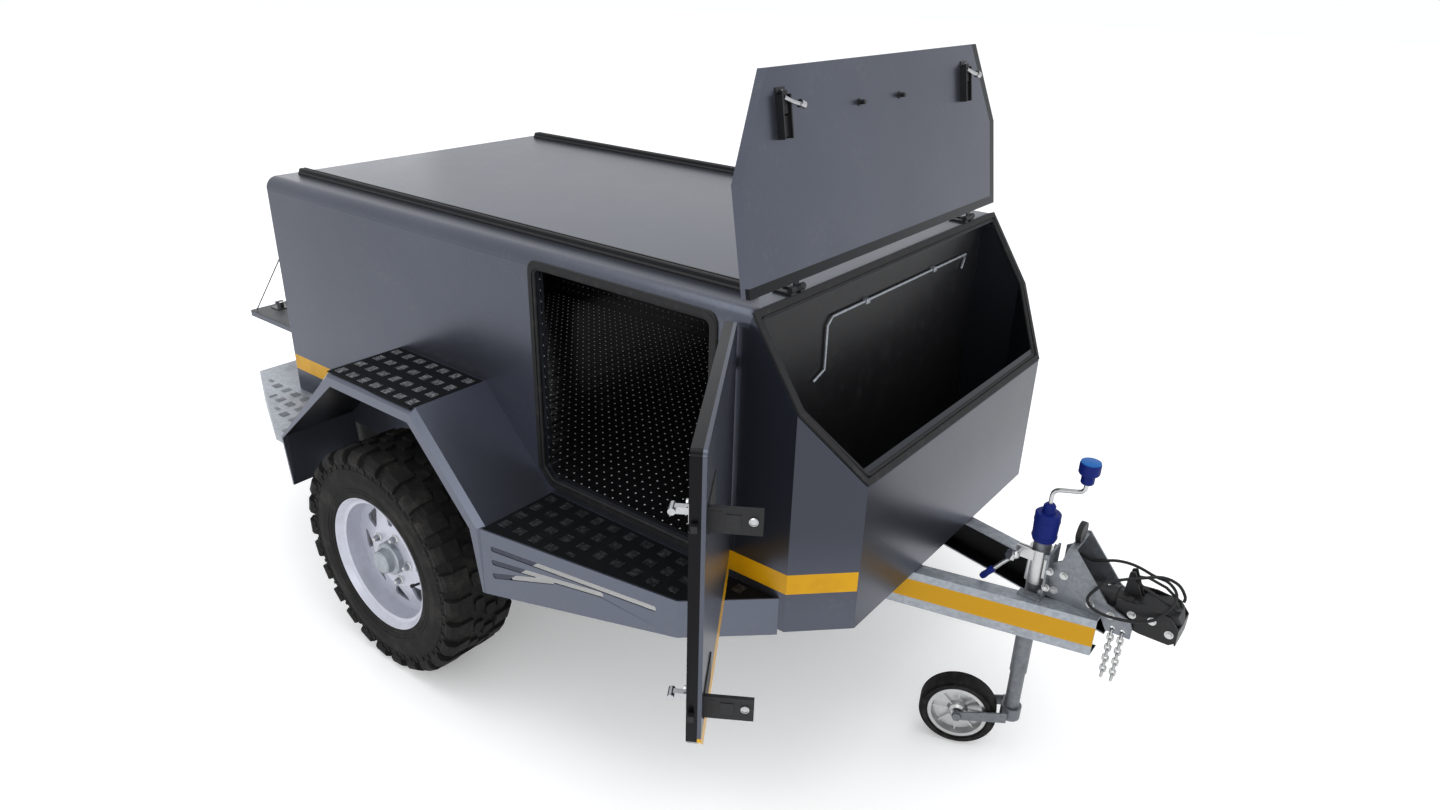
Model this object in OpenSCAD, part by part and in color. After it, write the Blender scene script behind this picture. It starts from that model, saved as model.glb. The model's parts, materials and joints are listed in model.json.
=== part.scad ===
// Off-road box trailer with a nose box, a door on each side, a tailgate
// and a drawbar with a jockey wheel. X points to the coupling, Z up.
// Sizes are taken from the axle line and the road, then the whole
// model is moved so that the hitch ball's centre is the origin.

/* [Body] */
// Half of the body's width
body_half = 661; // [600:1:720]
// From the axle back to the rear face of the body
body_rear = 885; // [800:5:1000]
// Height of the body's lower edge above the axle
ride = 212; // [195:1:240]
// Height of the body from its lower edge to the roof
body_h = 816; // [740:1:900]
// Thickness of a wall panel
wall = 25; // [15:1:30]
// Rounding of the long edges beside the roof
edge_r = 40; // [35:1:60]
// From the body's lower edge up to the floor's upper face
floor_up = 98; // [70:1:105]

/* [Nose box] */
// From the axle forward to the bulkhead behind the nose box
bulkhead_x = 1125; // [1110:1:1140]
// From the axle forward to the end of the roof
roof_end = 1170; // [1160:1:1200]
// From the axle forward to the corner where the sides turn in
nose_kink = 1313; // [1290:1:1340]
// From the axle forward to the front face
nose_front = 1442; // [1420:1:1480]
// How much narrower the front face is than the body on each side
nose_in = 128; // [100:1:180]
// From the body's lower edge up to the front face's upper edge
nose_up = 408; // [360:1:460]
// Thickness of the nose lid
lid_t = 26; // [18:1:32]
// Angle that the nose lid stands open
lid_open = 155; // [90:1:158]
// Height of the lid's hinge pins above the roof
lid_pin_z = 13; // [11:0.5:16]

/* [Side doors] */
// From the axle forward to the door's rear edge
door_x0 = 430; // [400:1:500]
// From the axle forward to the door's front edge
door_x1 = 1080; // [1040:1:1090]
// From the body's lower edge up to the door's lower edge
door_up = 113; // [108:1:150]
// From the roof down to the door's upper edge
door_drop = 22; // [20:1:100]
// Thickness of a door
door_t = 30; // [20:1:40]
// Gap between a closed door or lid and the body, which the seal fills
seal_gap = 6; // [5:0.5:10]
// How far a door laps over its opening on every side
door_lap = 17; // [12:1:25]
// Angle that the right door stands open
door_open = 122.6; // [0:0.1:125]
// Clear distance from the door's chamfered corner to the wheel cover
door_clear = 12; // [8:1:30]

/* [Tailgate] */
// From the body's lower edge up to the lowered tailgate's upper face
gate_up = 199; // [170:1:240]
// Height of the tailgate panel
gate_h = 462; // [400:1:500]
// Half of the tailgate's width
gate_half = 560; // [480:1:600]
// Thickness of the tailgate
gate_t = 24; // [18:1:30]

/* [Wheel covers and steps] */
// Width of the wheel covers
cover_w = 269; // [250:1:300]
// From the body's lower edge up to the wheel covers' top
cover_up = 373; // [350:1:400]
// Rear end of a cover's flat top, behind the axle
cover_x0 = 207; // [180:1:240]
// Front end of a cover's flat top, ahead of the axle
cover_x1 = 213; // [180:1:240]
// From the axle back to the cover's rear flap
cover_tail = 548; // [520:1:600]
// Thickness of the folded sheet
sheet = 4; // [2:0.5:6]
// Height of the folded skirt along a cover's outer edge
skirt = 45; // [30:1:60]
// Width of the slanting fold above the skirt
fold = 15; // [8:1:25]
// From the body's lower edge up to the steps
step_up = 94; // [80:1:105]
// From the axle forward to the rear end of a step
step_x0 = 478.5; // [470:0.5:500]
// From the axle forward to the step's front corner
step_x1 = 1108; // [1050:1:1150]
// From the axle forward to where the step meets the body
step_x2 = 1295; // [1250:1:1305]
// Width of the steps at their front corners
step_w = 173; // [130:1:220]

/* [Rear beam] */
// From the axle back to the rear face of the beam
beam_x0 = 1150; // [1100:1:1200]
// Height of the beam
beam_h = 135; // [110:1:140]
// From the body's lower edge up to the beam's top
beam_up = 30; // [20:1:35]
// Height of the rear steps' lip at the wheel cover
lip_h = 20; // [12:1:30]

/* [Wheels] */
// Radius of the tyre over its lugs
tyre_r = 380; // [370:1:390]
// Width of the tyre
tyre_w = 245; // [225:1:255]
// Gap between the body's side and a tyre
tyre_gap = 71; // [60:1:90]
// Number of lugs on each shoulder of a tyre
lugs = 26; // [20:1:30]
// Depth of the tread between the lugs
tread_h = 12; // [8:1:16]
// Radius of the rim's flange
rim_r = 224; // [215:1:230]
// From the wheel's middle plane out to the disc
disc_z = 50; // [30:1:60]
// Thickness of the wheel's disc
disc_t = 7; // [5:0.5:9]
// How far the disc is dished inwards at its edge
dish = 18; // [8:1:25]
// Number of windows in the wheel's disc
windows = 8; // [6:1:10]
// Radius of the wheel's spindle
spindle_r = 20; // [16:1:25]
// Radial running clearance of the wheels and of the jockey's leg
run_gap = 0.08; // [0.05:0.01:0.1]

/* [Drawbar] */
// From the axle forward to the hitch ball's centre
hitch_x = 2052; // [2040:1:2060]
// Height of the hitch ball's centre above the drawbar's rails
hitch_up = 10; // [5:1:20]
// Radius of the coupling's ball socket
socket_r = 25.4; // [25.1:0.1:25.8]
// Height of the cross members between the drawbar and the body
cross_h = 12; // [8:1:20]
// Height of a drawbar rail
bar_h = 113; // [100:1:120]
// Width of a drawbar rail's flanges
bar_w = 48; // [40:1:55]
// Thickness of a drawbar rail
bar_t = 5; // [3:0.5:6]
// From the axle forward to the front end of the rails
bar_x1 = 1911; // [1890:1:1920]
// Half of the drawbar's width at its front end
bar_half1 = 82.6; // [78:0.1:88]
// From the axle forward to the rear end of the rails
bar_x0 = 700; // [650:5:750]
// Half of the drawbar's width at its rear end
bar_half0 = 366.7; // [350:0.1:380]

/* [Jockey wheel] */
// From the axle forward to the jockey wheel's tube
jack_x = 1724; // [1710:1:1735]
// Distance of the tube's axis to the right of the middle
jack_y = 40; // [35:0.5:42]
// Radius of the outer tube
jack_r = 24; // [22:0.5:25]
// Radius of the inner leg
leg_r = 21; // [18:0.5:21]
// Height of the outer tube's lower end above the road
tube_z0 = 290; // [286:1:300]
// From the drawbar's rails up to the housing on the tube
jack_up = 155; // [140:1:180]
// From the tube's axis back to the jockey wheel's axle
trail = 148.5; // [130:0.5:155]
// Radius of the jockey wheel
jwheel_r = 112.2; // [105:0.1:115]
// Width of the jockey wheel
jwheel_w = 65; // [50:1:70]
// Angle that the jockey wheel has swivelled to
swivel = 20.8; // [-45:0.1:45]

/* [Hidden] */
body_grey = "#55585f";
trim_black = "#18191b";
zinc = "#a9aeb2";
rim_steel = "#c9cccf";
rubber_black = "#202224";
jack_blue = "#1d2f8f";
lamp_red = "#a01818";

body_low = tyre_r + ride;
body_top = body_low + body_h;
floor_top = body_low + floor_up;
nose_half = body_half - nose_in;
nose_sill = body_low + nose_up;
door_z0 = body_low + door_up;
door_z1 = body_top - door_drop;
gate_z0 = body_low + gate_up;
cover_half = body_half + cover_w;
cover_z = body_low + cover_up;
step_z = body_low + step_up;
step_half = body_half + step_w;
beam_z1 = body_low + beam_up;
wheel_y = body_half + tyre_gap + tyre_w / 2;
bar_z1 = body_low - cross_h;
bar_z0 = bar_z1 - bar_h;
hitch_z = bar_z1 + hitch_up;
gate_low = gate_z0 - gate_t / 2 + 6;
slope_a = atan2(body_top - nose_sill, nose_front - roof_end);
slope_l = (nose_front - roof_end) / cos(slope_a);
kink_a = atan2(body_half - nose_half, nose_front - nose_kink);
door_y = body_half + seal_gap;
hinge_pin_r = 6;
hinge_x = door_x1 + 25;
hinge_y = body_half + hinge_pin_r;
cover_pts = [[22 - cover_tail, body_low - 135], [-cover_tail, body_low + 41], [-cover_x0, cover_z],
  [cover_x1, cover_z], [step_x0, step_z]];
cover_slope = (cover_z - step_z) / (step_x0 - cover_x1);

// Moves a piece from the axle frame to the hitch frame
module framed() translate([-hitch_x, 0, -hitch_z]) children();
// Extrudes a (Y, Z) outline from x0 to x1
module along_x(x0, x1) translate([x0, 0, 0]) rotate([90, 0, 90]) linear_extrude(x1 - x0) children();
// Extrudes an (X, Z) outline from y0 to y1
module along_y(y0, y1) translate([0, y1, 0]) rotate([90, 0, 0]) linear_extrude(y1 - y0) children();
// Places on the right as drawn, and on the left mirrored
module on_side(left) mirror([0, left ? 1 : 0, 0]) children();
// A straight slot with round ends from a to b in 2D
module slot2d(a, b, r) {
  d = b - a;
  translate(a) rotate(atan2(d[1], d[0])) union() {
    translate([0, -r]) square([norm(d), 2 * r]);
    circle(r, $fn = 24);
    translate([norm(d), 0]) circle(r, $fn = 24);
  }
}
// A rectangle with rounded corners from a to b in 2D
module round_rect(a, b, r) {
  translate(a + [r, 0]) square([b[0] - a[0] - 2 * r, b[1] - a[1]]);
  translate(a + [0, r]) square([b[0] - a[0], b[1] - a[1] - 2 * r]);
  for (x = [a[0] + r, b[0] - r], y = [a[1] + r, b[1] - r]) translate([x, y]) circle(r, $fn = 32);
}
// The points of a path moved by d to its right, with mitred corners
function path_normal(a, b) = let (d = (b - a) / norm(b - a)) [d[1], -d[0]];
function moved_path(p, d) = [for (i = [0 : len(p) - 1])
  let (n0 = path_normal(p[max(i - 1, 0)], p[max(i, 1)]),
       n1 = path_normal(p[min(i, len(p) - 2)], p[min(i + 1, len(p) - 1)]))
  p[i] + (n0 + n1) * d / (1 + n0 * n1)];
function reversed(p) = [for (i = [len(p) - 1 : -1 : 0]) p[i]];
// Faces between n-point rings as triangles, with flat ends unless the rings go round
function ring_faces(count, n, round = false) = concat(
  round ? [] : [[for (k = [0 : n - 1]) k], [for (k = [n - 1 : -1 : 0]) (count - 1) * n + k]],
  [for (i = [0 : count - (round ? 1 : 2)], k = [0 : n - 1], t = [0, 1])
    let (j = (i + 1) % count, m = (k + 1) % n)
    t == 0 ? [i * n + k, j * n + m, i * n + m] : [i * n + k, j * n + k, j * n + m]]);
// A tube of radius r along points, whose rings start on the side that ref looks to
function unit(v) = v / norm(v);
function ahead(p, i, round) = let (c = len(p))
  round ? p[(i + 1) % c] - p[(i + c - 1) % c] : p[min(i + 1, c - 1)] - p[max(i - 1, 0)];
module bent_tube(p, r, sides, ref, round = false) polyhedron(
  points = [for (i = [0 : len(p) - 1], k = [0 : sides - 1])
    let (t = unit(ahead(p, i, round)), u = unit(cross(ref, t)), v = cross(t, u), a = 360 * k / sides)
    p[i] + r * (cos(a) * u + sin(a) * v)],
  faces = ring_faces(len(p), sides, round));
// A smooth curve through points, with n steps between two of them
function curve_at(a, b, c, d, t) = 0.5 * ((2 * b) + (c - a) * t + (2 * a - 5 * b + 4 * c - d) * t * t
  + (3 * b - a - 3 * c + d) * t * t * t);
function smooth_path(p, n) = let (e = len(p) - 1) concat(
  [for (i = [0 : e - 1], k = [0 : n - 1])
    curve_at(p[max(i - 1, 0)], p[i], p[i + 1], p[min(i + 2, e)], k / n)],
  [p[e]]);

// Body shell: one outline, inset by the wall thickness for its inside
module body_outline(inset, low) {
  h = body_half - inset;
  r = max(edge_r - inset, 5);
  t = body_top - inset;
  translate([-h, low]) square([2 * h, t - r - low]);
  translate([-h + r, low]) square([2 * (h - r), t - low]);
  for (s = [-1, 1]) translate([s * (h - r), t - r]) circle(r, $fn = 64);
}
module plan_outline(inset) {
  h = body_half - inset;
  k = nose_kink - inset * tan(kink_a / 2);
  n = nose_half - inset * tan(45 - kink_a / 2);
  polygon([[-body_rear - 1, -h], [k, -h], [nose_front - inset, -n], [nose_front - inset, n],
    [k, h], [-body_rear - 1, h]]);
}
module above_slope() {
  run = 300;
  rise = run * tan(slope_a);
  along_y(-body_half - 50, body_half + 50) polygon([[roof_end, body_top], [roof_end, body_top + 99],
    [nose_front + run, body_top + 99], [nose_front + run, nose_sill - rise]]);
}
module shell(x0, x1) {
  difference() {
    intersection() {
      along_x(x0, x1) body_outline(0, body_low);
      translate([0, 0, body_low]) linear_extrude(body_top) plan_outline(0);
    }
    intersection() {
      along_x(x0 - 1, x1 + 1) body_outline(wall, body_low - 1);
      translate([0, 0, body_low - 2]) linear_extrude(body_top) plan_outline(wall);
    }
    above_slope();
  }
}
// Outline of a side door or of its opening, grown by d
module door_outline(d, r) {
  z_at = function(x) step_z + (step_x0 - x) * cover_slope + (door_clear - d) / cos(atan(cover_slope));
  difference() {
    round_rect([door_x0 - d, door_z0 - d], [door_x1 + d, door_z1 + d], r);
    polygon([[door_x0 - d - 99, z_at(door_x0 - d - 99)], [door_x0 + 200, z_at(door_x0 + 200)],
      [door_x0 - d - 99, door_z0 - 500]]);
  }
}
module side_panel() {
  roof_z = body_top - edge_r;
  difference() {
    intersection() {
      shell(-body_rear, bulkhead_x + wall);
      translate([-body_rear - 1, -body_half - 1, body_low - 1])
        cube([3000, wall + 1, roof_z - body_low + 1]);
    }
    along_y(-body_half - 1, -body_half + wall + 1) door_outline(-door_lap, 30);
  }
}
module side_right() color(body_grey) framed() side_panel();
module side_left() color(body_grey) framed() on_side(true) side_panel();

module roof() color(body_grey) framed() intersection() {
  shell(-body_rear, roof_end);
  translate([-body_rear - 1, -body_half - 1, body_top - edge_r]) cube([3000, 2 * body_half + 2, 200]);
}
module floor() color(trim_black) framed()
  translate([-body_rear + wall, -body_half + wall, floor_top - wall])
    cube([body_rear + bulkhead_x - wall, 2 * (body_half - wall), wall]);

module bulkhead() color(trim_black) framed()
  translate([bulkhead_x, -body_half + wall, body_low])
    cube([wall, 2 * (body_half - wall), body_top - edge_r - body_low]);

module nose() color(body_grey) framed() {
  difference() {
    shell(bulkhead_x + wall, nose_front);
    translate([0, -body_half - 1, body_top - edge_r]) cube([roof_end, 2 * body_half + 2, 200]);
  }
  intersection() {
    translate([bulkhead_x + wall, -body_half, body_low]) cube([nose_front, 2 * body_half, wall]);
    translate([0, 0, body_low - 1]) linear_extrude(wall + 2) plan_outline(wall / 2);
  }
}
module rear_frame() color(body_grey) framed() difference() {
  translate([-body_rear, -body_half + wall, body_low])
    cube([wall, 2 * (body_half - wall), body_top - edge_r - body_low]);
  translate([-body_rear - 1, -gate_half + door_lap, gate_low + door_lap])
    cube([wall + 2, 2 * (gate_half - door_lap), gate_h - 2 * door_lap]);
}
// Rubber seals round the door openings and the tailgate opening
seal_t = seal_gap - 0.5;
module door_seals() color(rubber_black) framed() {
  for (left = [false, true]) on_side(left)
    along_y(-body_half - seal_t, -body_half) difference() {
      door_outline(-3, 38);
      door_outline(-door_lap, 30);
    }
  translate([-body_rear - seal_t, 0, 0]) rotate([90, 0, 90]) linear_extrude(seal_t) difference() {
    translate([-gate_half + 3, gate_low + 3]) square([2 * gate_half - 6, gate_h - 6]);
    translate([-gate_half + door_lap, gate_low + door_lap])
      square([2 * (gate_half - door_lap), gate_h - 2 * door_lap]);
  }
}
// Plane of the nose opening: X runs down the slope, Z stands out of it
module on_slope() translate([roof_end, 0, body_top]) rotate([0, slope_a, 0]) children();
module lid_outline(d) {
  k = (nose_kink - roof_end) / cos(slope_a) - d * tan(kink_a / 2);
  h = body_half - d;
  n = nose_half - d * tan(45 - kink_a / 2);
  e = slope_l - d;
  polygon([[d, -h], [k, -h], [e, -n], [e, n], [k, h], [d, h]]);
}
module nose_seal() color(rubber_black) framed() on_slope()
  linear_extrude(seal_t) difference() {
    lid_outline(4);
    lid_outline(20);
  }

step_drop0 = 214;
step_drop1 = 111;
// Wheel covers: one folded sheet, swept along the cover's path and down to the step's lower edge.
// Each corner of the section holds its distance from the middle plane, its depth, and what the
// skirt adds to that depth, of which each point of the path takes its share
cover_path = concat(cover_pts, [[step_x0, step_z - step_drop0]]);
cover_shares = [0.1, 0.1, 1, 1, 1, 0.15];
fold_y = cover_half - fold * 1.3;
cover_section = [[-body_half, 0, 0], [-fold_y, 0, 0], [-cover_half, 0, fold],
  [-cover_half, sheet + 1, skirt - sheet - 1], [-cover_half + sheet, sheet + 1, skirt - sheet - 1],
  [-cover_half + sheet, sheet, fold - 2], [-fold_y + 2, sheet, 0], [-body_half, sheet, 0]];
module wheel_cover() polyhedron(
  points = [for (i = [0 : len(cover_path) - 1], q = cover_section)
    let (m = moved_path(cover_path, q[1] + q[2] * cover_shares[i])[i]) [m[0], q[0], m[1]]],
  faces = ring_faces(len(cover_path), len(cover_section)));
module cover_right() color(body_grey) framed() wheel_cover();
module cover_left() color(body_grey) framed() on_side(true) wheel_cover();

// Steps: a top plate and a slotted outer plate that rises to the front
module step_plan(inset) polygon([[step_x0, -body_half], [step_x0, -cover_half + inset],
  [step_x1 - inset * 0.5, -step_half + inset],
  [step_x2 - inset * 1.4, -body_half]]);
module side_step() {
  difference() {
    translate([0, 0, step_z - step_drop0]) linear_extrude(step_drop0) step_plan(0);
    translate([0, 0, step_z - step_drop0 - 1]) linear_extrude(step_drop0 + 1 - sheet) step_plan(sheet);
    along_y(-cover_half - 1, -body_half + 1) polygon([[step_x0 - 1, step_z - step_drop0],
      [step_x1, step_z - step_drop1], [step_x2 + 9, step_z - step_drop1],
      [step_x2 + 9, step_z - step_drop0 - 9], [step_x0 - 1, step_z - step_drop0 - 9]]);
    for (k = [0 : 2])
      along_y(-cover_half - 1, -body_half - 60)
        slot2d([step_x0 + 42, step_z - 52 - 44 * k], [step_x1 - 70 - 160 * k, step_z - 48 - 19 * k], 8);
  }
}
module step_right() color(body_grey) framed() side_step();
module step_left() color(body_grey) framed() on_side(true) side_step();

rail_y = body_half - 119;
rail_x0 = -853;
rail_x1 = 1100;
// Roof rails: a grooved profile with rounded ends
module roof_rails() color(trim_black) framed() for (s = [-1, 1]) intersection() {
  along_x(rail_x0, rail_x1) translate([s * rail_y, body_top])
    polygon([[-15, 0], [15, 0], [15, 5], [11, 9], [11, 19], [8, 22], [3.5, 22], [3.5, 13], [-3.5, 13],
      [-3.5, 22], [-8, 22], [-11, 19], [-11, 9], [-15, 5]]);
  along_y(s * rail_y - 20, s * rail_y + 20) translate([0, body_top]) union() {
    translate([rail_x0, -1]) square([rail_x1 - rail_x0, 11]);
    translate([rail_x0 + 14, -1]) square([rail_x1 - rail_x0 - 28, 30]);
    for (x = [rail_x0 + 14, rail_x1 - 14]) translate([x, 8]) circle(14, $fn = 48);
  }
}

// Rear beam: a channel under the tailgate, with black caps in its ends and a step on each side
beam_z0 = beam_z1 - beam_h;
cap_l = 38;
cap_t = 14;
module rear_bumper() color(zinc) framed() difference() {
  translate([-beam_x0, -body_half, beam_z0]) cube([beam_x0 - body_rear, 2 * body_half, beam_h]);
  translate([-beam_x0 + sheet, -body_half - 1, beam_z0 + sheet])
    cube([beam_x0, 2 * body_half + 2, beam_h - 2 * sheet]);
  translate([-beam_x0 + cap_l, -body_half - 1, beam_z0 - 1]) cube([beam_x0, 2 * body_half + 2, sheet + 2]);
}
module bumper_caps() color(trim_black) framed() for (s = [-1, 1])
  mirror([0, s > 0 ? 1 : 0, 0]) {
    translate([-beam_x0 + sheet, -body_half, beam_z0 + sheet])
      cube([cap_l - sheet, 36, beam_h - 2 * sheet]);
    translate([-beam_x0, -body_half - cap_t, beam_z0]) cube([cap_l, cap_t, beam_h - sheet]);
  }
module rear_steps() color(zinc) framed() for (left = [false, true]) on_side(left) {
  tail = -cover_tail + 22 * (body_low + 41 - beam_z1) / 176;
  bend = -cover_tail - 50;
  far = -cover_half + 6;
  lean = sheet / cos(atan((cover_w - 20) / (beam_x0 + bend)));
  difference() {
    translate([0, 0, beam_z0]) linear_extrude(beam_h) polygon([[-beam_x0, -body_half],
      [-beam_x0, -body_half - cap_t], [bend, far], [tail, far], [tail, -body_half]]);
    translate([0, 0, beam_z0 - 1]) linear_extrude(beam_h + 1 - sheet) polygon([[-beam_x0, -body_half + 1],
      [-beam_x0, -body_half - cap_t + lean], [bend, far + sheet], [tail + 1, far + sheet],
      [tail + 1, -body_half + 1]]);
    translate([-beam_x0 - 1, -cover_half, beam_z0 - 1]) cube([cap_l + 1, cover_half, beam_h + 1 - sheet]);
    along_y(-cover_half, -body_half + 1) polygon([[-beam_x0, beam_z0 - 1], [tail + 1, beam_z0 - 1],
      [tail + 1, beam_z1 - lip_h], [bend, beam_z1 - lip_h], [-beam_x0 + cap_l, beam_z0]]);
  }
}
module tail_lamps() color(lamp_red) framed() for (s = [-1, 1])
  translate([-beam_x0 - 22, s * (body_half - 190) - 90, beam_z0 + 24]) cube([22, 180, 86]);

chassis_y = body_half - 181;
chassis_z0 = body_low - 80;
rail_w = 50;
rail_l = 2380;
module chassis_rails() color(zinc) framed() for (s = [-1, 1])
  difference() {
    translate([-beam_x0 + sheet, s * chassis_y - rail_w / 2, chassis_z0])
      cube([rail_l, rail_w, body_low - chassis_z0]);
    translate([-beam_x0, s * (chassis_y - 5) - rail_w / 2, chassis_z0 + 5])
      cube([rail_l + 99, rail_w, body_low - chassis_z0 - 10]);
  }
cross_xs = [-1000, -560, 560, 800, 1180];
module cross_members() color(zinc) framed() for (x = cross_xs)
  translate([x - 25, -chassis_y + rail_w / 2, bar_z1]) cube([50, 2 * chassis_y - rail_w, cross_h]);

bar_a = atan2(bar_half0 - bar_half1, bar_x1 - bar_x0);
module drawbars() color(zinc) framed() for (left = [false, true]) on_side(left)
  intersection() {
    translate([bar_x0, -bar_half0, bar_z0]) rotate([0, 0, bar_a]) translate([-100, 0, 0])
      difference() {
        cube([1500, bar_w, bar_h]);
        translate([-1, bar_t, bar_t]) cube([1502, bar_w, bar_h - 2 * bar_t]);
      }
    translate([bar_x0, -500, 0]) cube([bar_x1 - bar_x0, 500, 1000]);
  }

// Axle: square beam, spindles, brake backplates
drum_y0 = 745;
module axle() color(trim_black) framed() translate([0, 0, tyre_r]) {
  translate([-25, -drum_y0 + 15, -25]) cube([50, 2 * drum_y0 - 30, 50]);
  for (s = [-1, 1]) rotate([s * 90, 0, 0]) {
    translate([0, 0, drum_y0 - 16]) cylinder(h = 8, r = 118, $fn = 64);
    translate([0, 0, drum_y0 - 20]) cylinder(h = wheel_y + 40 - drum_y0 + 20, r = spindle_r, $fn = 48);
  }
}
spring_half = 350;
spring_rise = 60;
spring_r = (pow(spring_half, 2) + pow(spring_rise, 2)) / (2 * spring_rise);
spring_w = 60;
leaf_t = 8;
spring_y = chassis_y;
module leaf_arc(half, k) {
  a = asin(half / spring_r);
  translate([0, 0, tyre_r + 25 + spring_r]) rotate([90, 0, 0])
    rotate([0, 0, -90 - a]) rotate_extrude(angle = 2 * a, $fn = 180)
      translate([spring_r - (k + 1) * leaf_t, 0]) square([leaf_t, spring_w]);
}
module leaf_springs() color(trim_black) framed() for (y = [-spring_y, spring_y])
  translate([0, y + spring_w / 2, 0]) {
  for (k = [0 : 3]) leaf_arc(spring_half - (3 - k) * 68, k);
  for (x = [-1, 1]) {
    translate([x * spring_half, 0, tyre_r + 25 + spring_rise + 12]) rotate([90, 0, 0])
      cylinder(h = spring_w, r = 16, $fn = 32);
    translate([x * spring_half - 14, -spring_w, tyre_r + 25 + spring_rise + 12])
      cube([28, spring_w, chassis_z0 - tyre_r - 25 - spring_rise - 12]);
  }
}

tube_z = hitch_z + 25;
neck = 62;
beam_r = 29;
gusset_y = 58;
gusset_t = 6;
base_x0 = 1762;
tab_z = bar_z1 - 18;
hole_r = 6;
strand_xs = [1946, 1972];
module coupling_base() color(zinc) framed() {
  for (s = [-1, 1]) along_y(s * gusset_y - gusset_t / 2, s * gusset_y + gusset_t / 2) difference() {
    polygon([[base_x0, bar_z1], [base_x0, bar_z1 + 104], [1788, bar_z1 + 122], [1798, bar_z1 + 166],
      [1816, bar_z1 + 170], [1922, bar_z1 + 44], [1985, bar_z1 + 20], [1993, bar_z1], [1993, tab_z - 14],
      [1930, tab_z - 14], [bar_x1 + 1, bar_z1]]);
    for (x = strand_xs) translate([x, tab_z]) circle(hole_r, $fn = 24);
  }
  translate([base_x0, -gusset_y + gusset_t / 2, bar_z1])
    cube([150, 2 * gusset_y - gusset_t, tube_z - beam_r - 0.2 - bar_z1]);
  translate([1798, -gusset_y, bar_z1 + 160]) cube([18, 2 * gusset_y, 6]);
}
// Draw tube, and a round stop on the plate between the gussets
module coupling_tube() color(trim_black) framed() {
  translate([base_x0, 0, tube_z]) rotate([0, 90, 0])
    cylinder(h = hitch_x - neck - base_x0, r = beam_r, $fn = 48);
  for (x = [1916, 1960]) translate([x, 0, tube_z]) rotate([0, 90, 0])
    cylinder(h = 14, r = beam_r + 5, $fn = 48);
  translate([1800, 0, bar_z1 + 166 + beam_r - 3]) intersection() {
    rotate([0, 90, 0]) cylinder(h = 14, r = beam_r, $fn = 48);
    translate([-1, -beam_r, 3 - beam_r]) cube([16, 2 * beam_r, 2 * beam_r]);
  }
}
// Ball coupling: its side view and its plan, with the ball's socket from below
head_z0 = hitch_z - 18;
module coupling_head() color(trim_black) framed() difference() {
  intersection() {
    along_y(-60, 60) polygon([[hitch_x - neck, head_z0 + 6], [hitch_x - 44, head_z0],
      [hitch_x + 34, head_z0], [hitch_x + 45, head_z0 + 10], [hitch_x + 46, head_z0 + 44],
      [hitch_x + 34, head_z0 + 74], [hitch_x + 4, head_z0 + 80], [hitch_x - neck, head_z0 + 70]]);
    translate([0, 0, head_z0 - 1]) linear_extrude(99) union() {
      translate([hitch_x, 0]) circle(r = 46, $fn = 64);
      polygon([[hitch_x - neck, -34], [hitch_x - 12, -44], [hitch_x - 12, 44], [hitch_x - neck, 34]]);
    }
  }
  translate([hitch_x, 0, head_z0 - 1]) cylinder(h = 27, r = socket_r, $fn = 64);
  translate([hitch_x, 0, hitch_z]) sphere(r = socket_r, $fn = 64);
}
// Handle over the coupling: two cheeks on the tube and a bent bar that reaches to the tip
lever_pts = [[1950, 0, 118], [1990, -26, 112], [2034, -30, 100], [2076, -22, 78], [2086, 0, 74],
  [2076, 22, 78], [2034, 30, 100], [1990, 26, 112]];
module coupling_lever() color(trim_black) framed() {
  for (s = [-1, 1]) along_y(s * 10 - 3, s * 10 + 3)
    polygon([[1944, tube_z + beam_r + 5.2], [1948, bar_z1 + 132], [1960, bar_z1 + 138], [1986, bar_z1 + 78],
      [1990, tube_z + beam_r + 5.2]]);
  bent_tube([for (q = lever_pts) [q[0], q[1], bar_z1 + q[2]]], 4, 8, [0, 0, 1], true);
}

// Cable from the brake on the drawbar in a loop over the coupling to its tip. Heights are above the rails
cable_pts = [[1803, 50.9, 98], [1836, 46, 92], [1868, 45, 104], [1895, 52, 112], [1925, 62, 112],
  [1955, 66, 108], [1997, 60, 102], [2034, 44, 108], [2064, 6, 106], [2067, -34, 92], [2044, -62, 60],
  [2010, -70, 38], [1974, -78, 30], [1925, -80, 24], [1888, -80, 32], [1874, -78, 52], [1886, -71, 80],
  [1908, -58, 106], [1938, -38, 118], [1976, -12, 126], [2022, 12, 136], [2060, 24, 124],
  [2082, 20, 100], [2083, 14, 86]];
cable_r = 4;
module brake_cable() color(rubber_black) framed()
  bent_tube(smooth_path([for (q = cable_pts) [q[0], q[1], bar_z1 + q[2]]], 4), cable_r, 8, [0.13, -0.2, 1]);

// Safety chain: two strands of oval links that hang from holes in the gusset
link_l = 26;
link_w = 17;
wire_r = 2.2;
hang = 1.05;
link_pitch = link_l - 4 * wire_r - 0.15;
strand = 9;
link_path = [for (k = [0 : 9]) let (a = 36 * k + 18, r = link_w / 2 - wire_r)
  [r * cos(a), 0, r * sin(a) + sign(sin(a)) * (link_l - link_w) / 2]];
module safety_chain() color(zinc) framed() for (x = strand_xs, k = [0 : strand - 1])
  translate([x, -gusset_y, tab_z - hole_r - link_l / 2 + 2 * wire_r + hang - k * link_pitch])
    rotate([0, 0, k % 2 == 0 ? 90 : 0]) bent_tube(link_path, wire_r, 5, [0, 1, 0], true);

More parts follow.
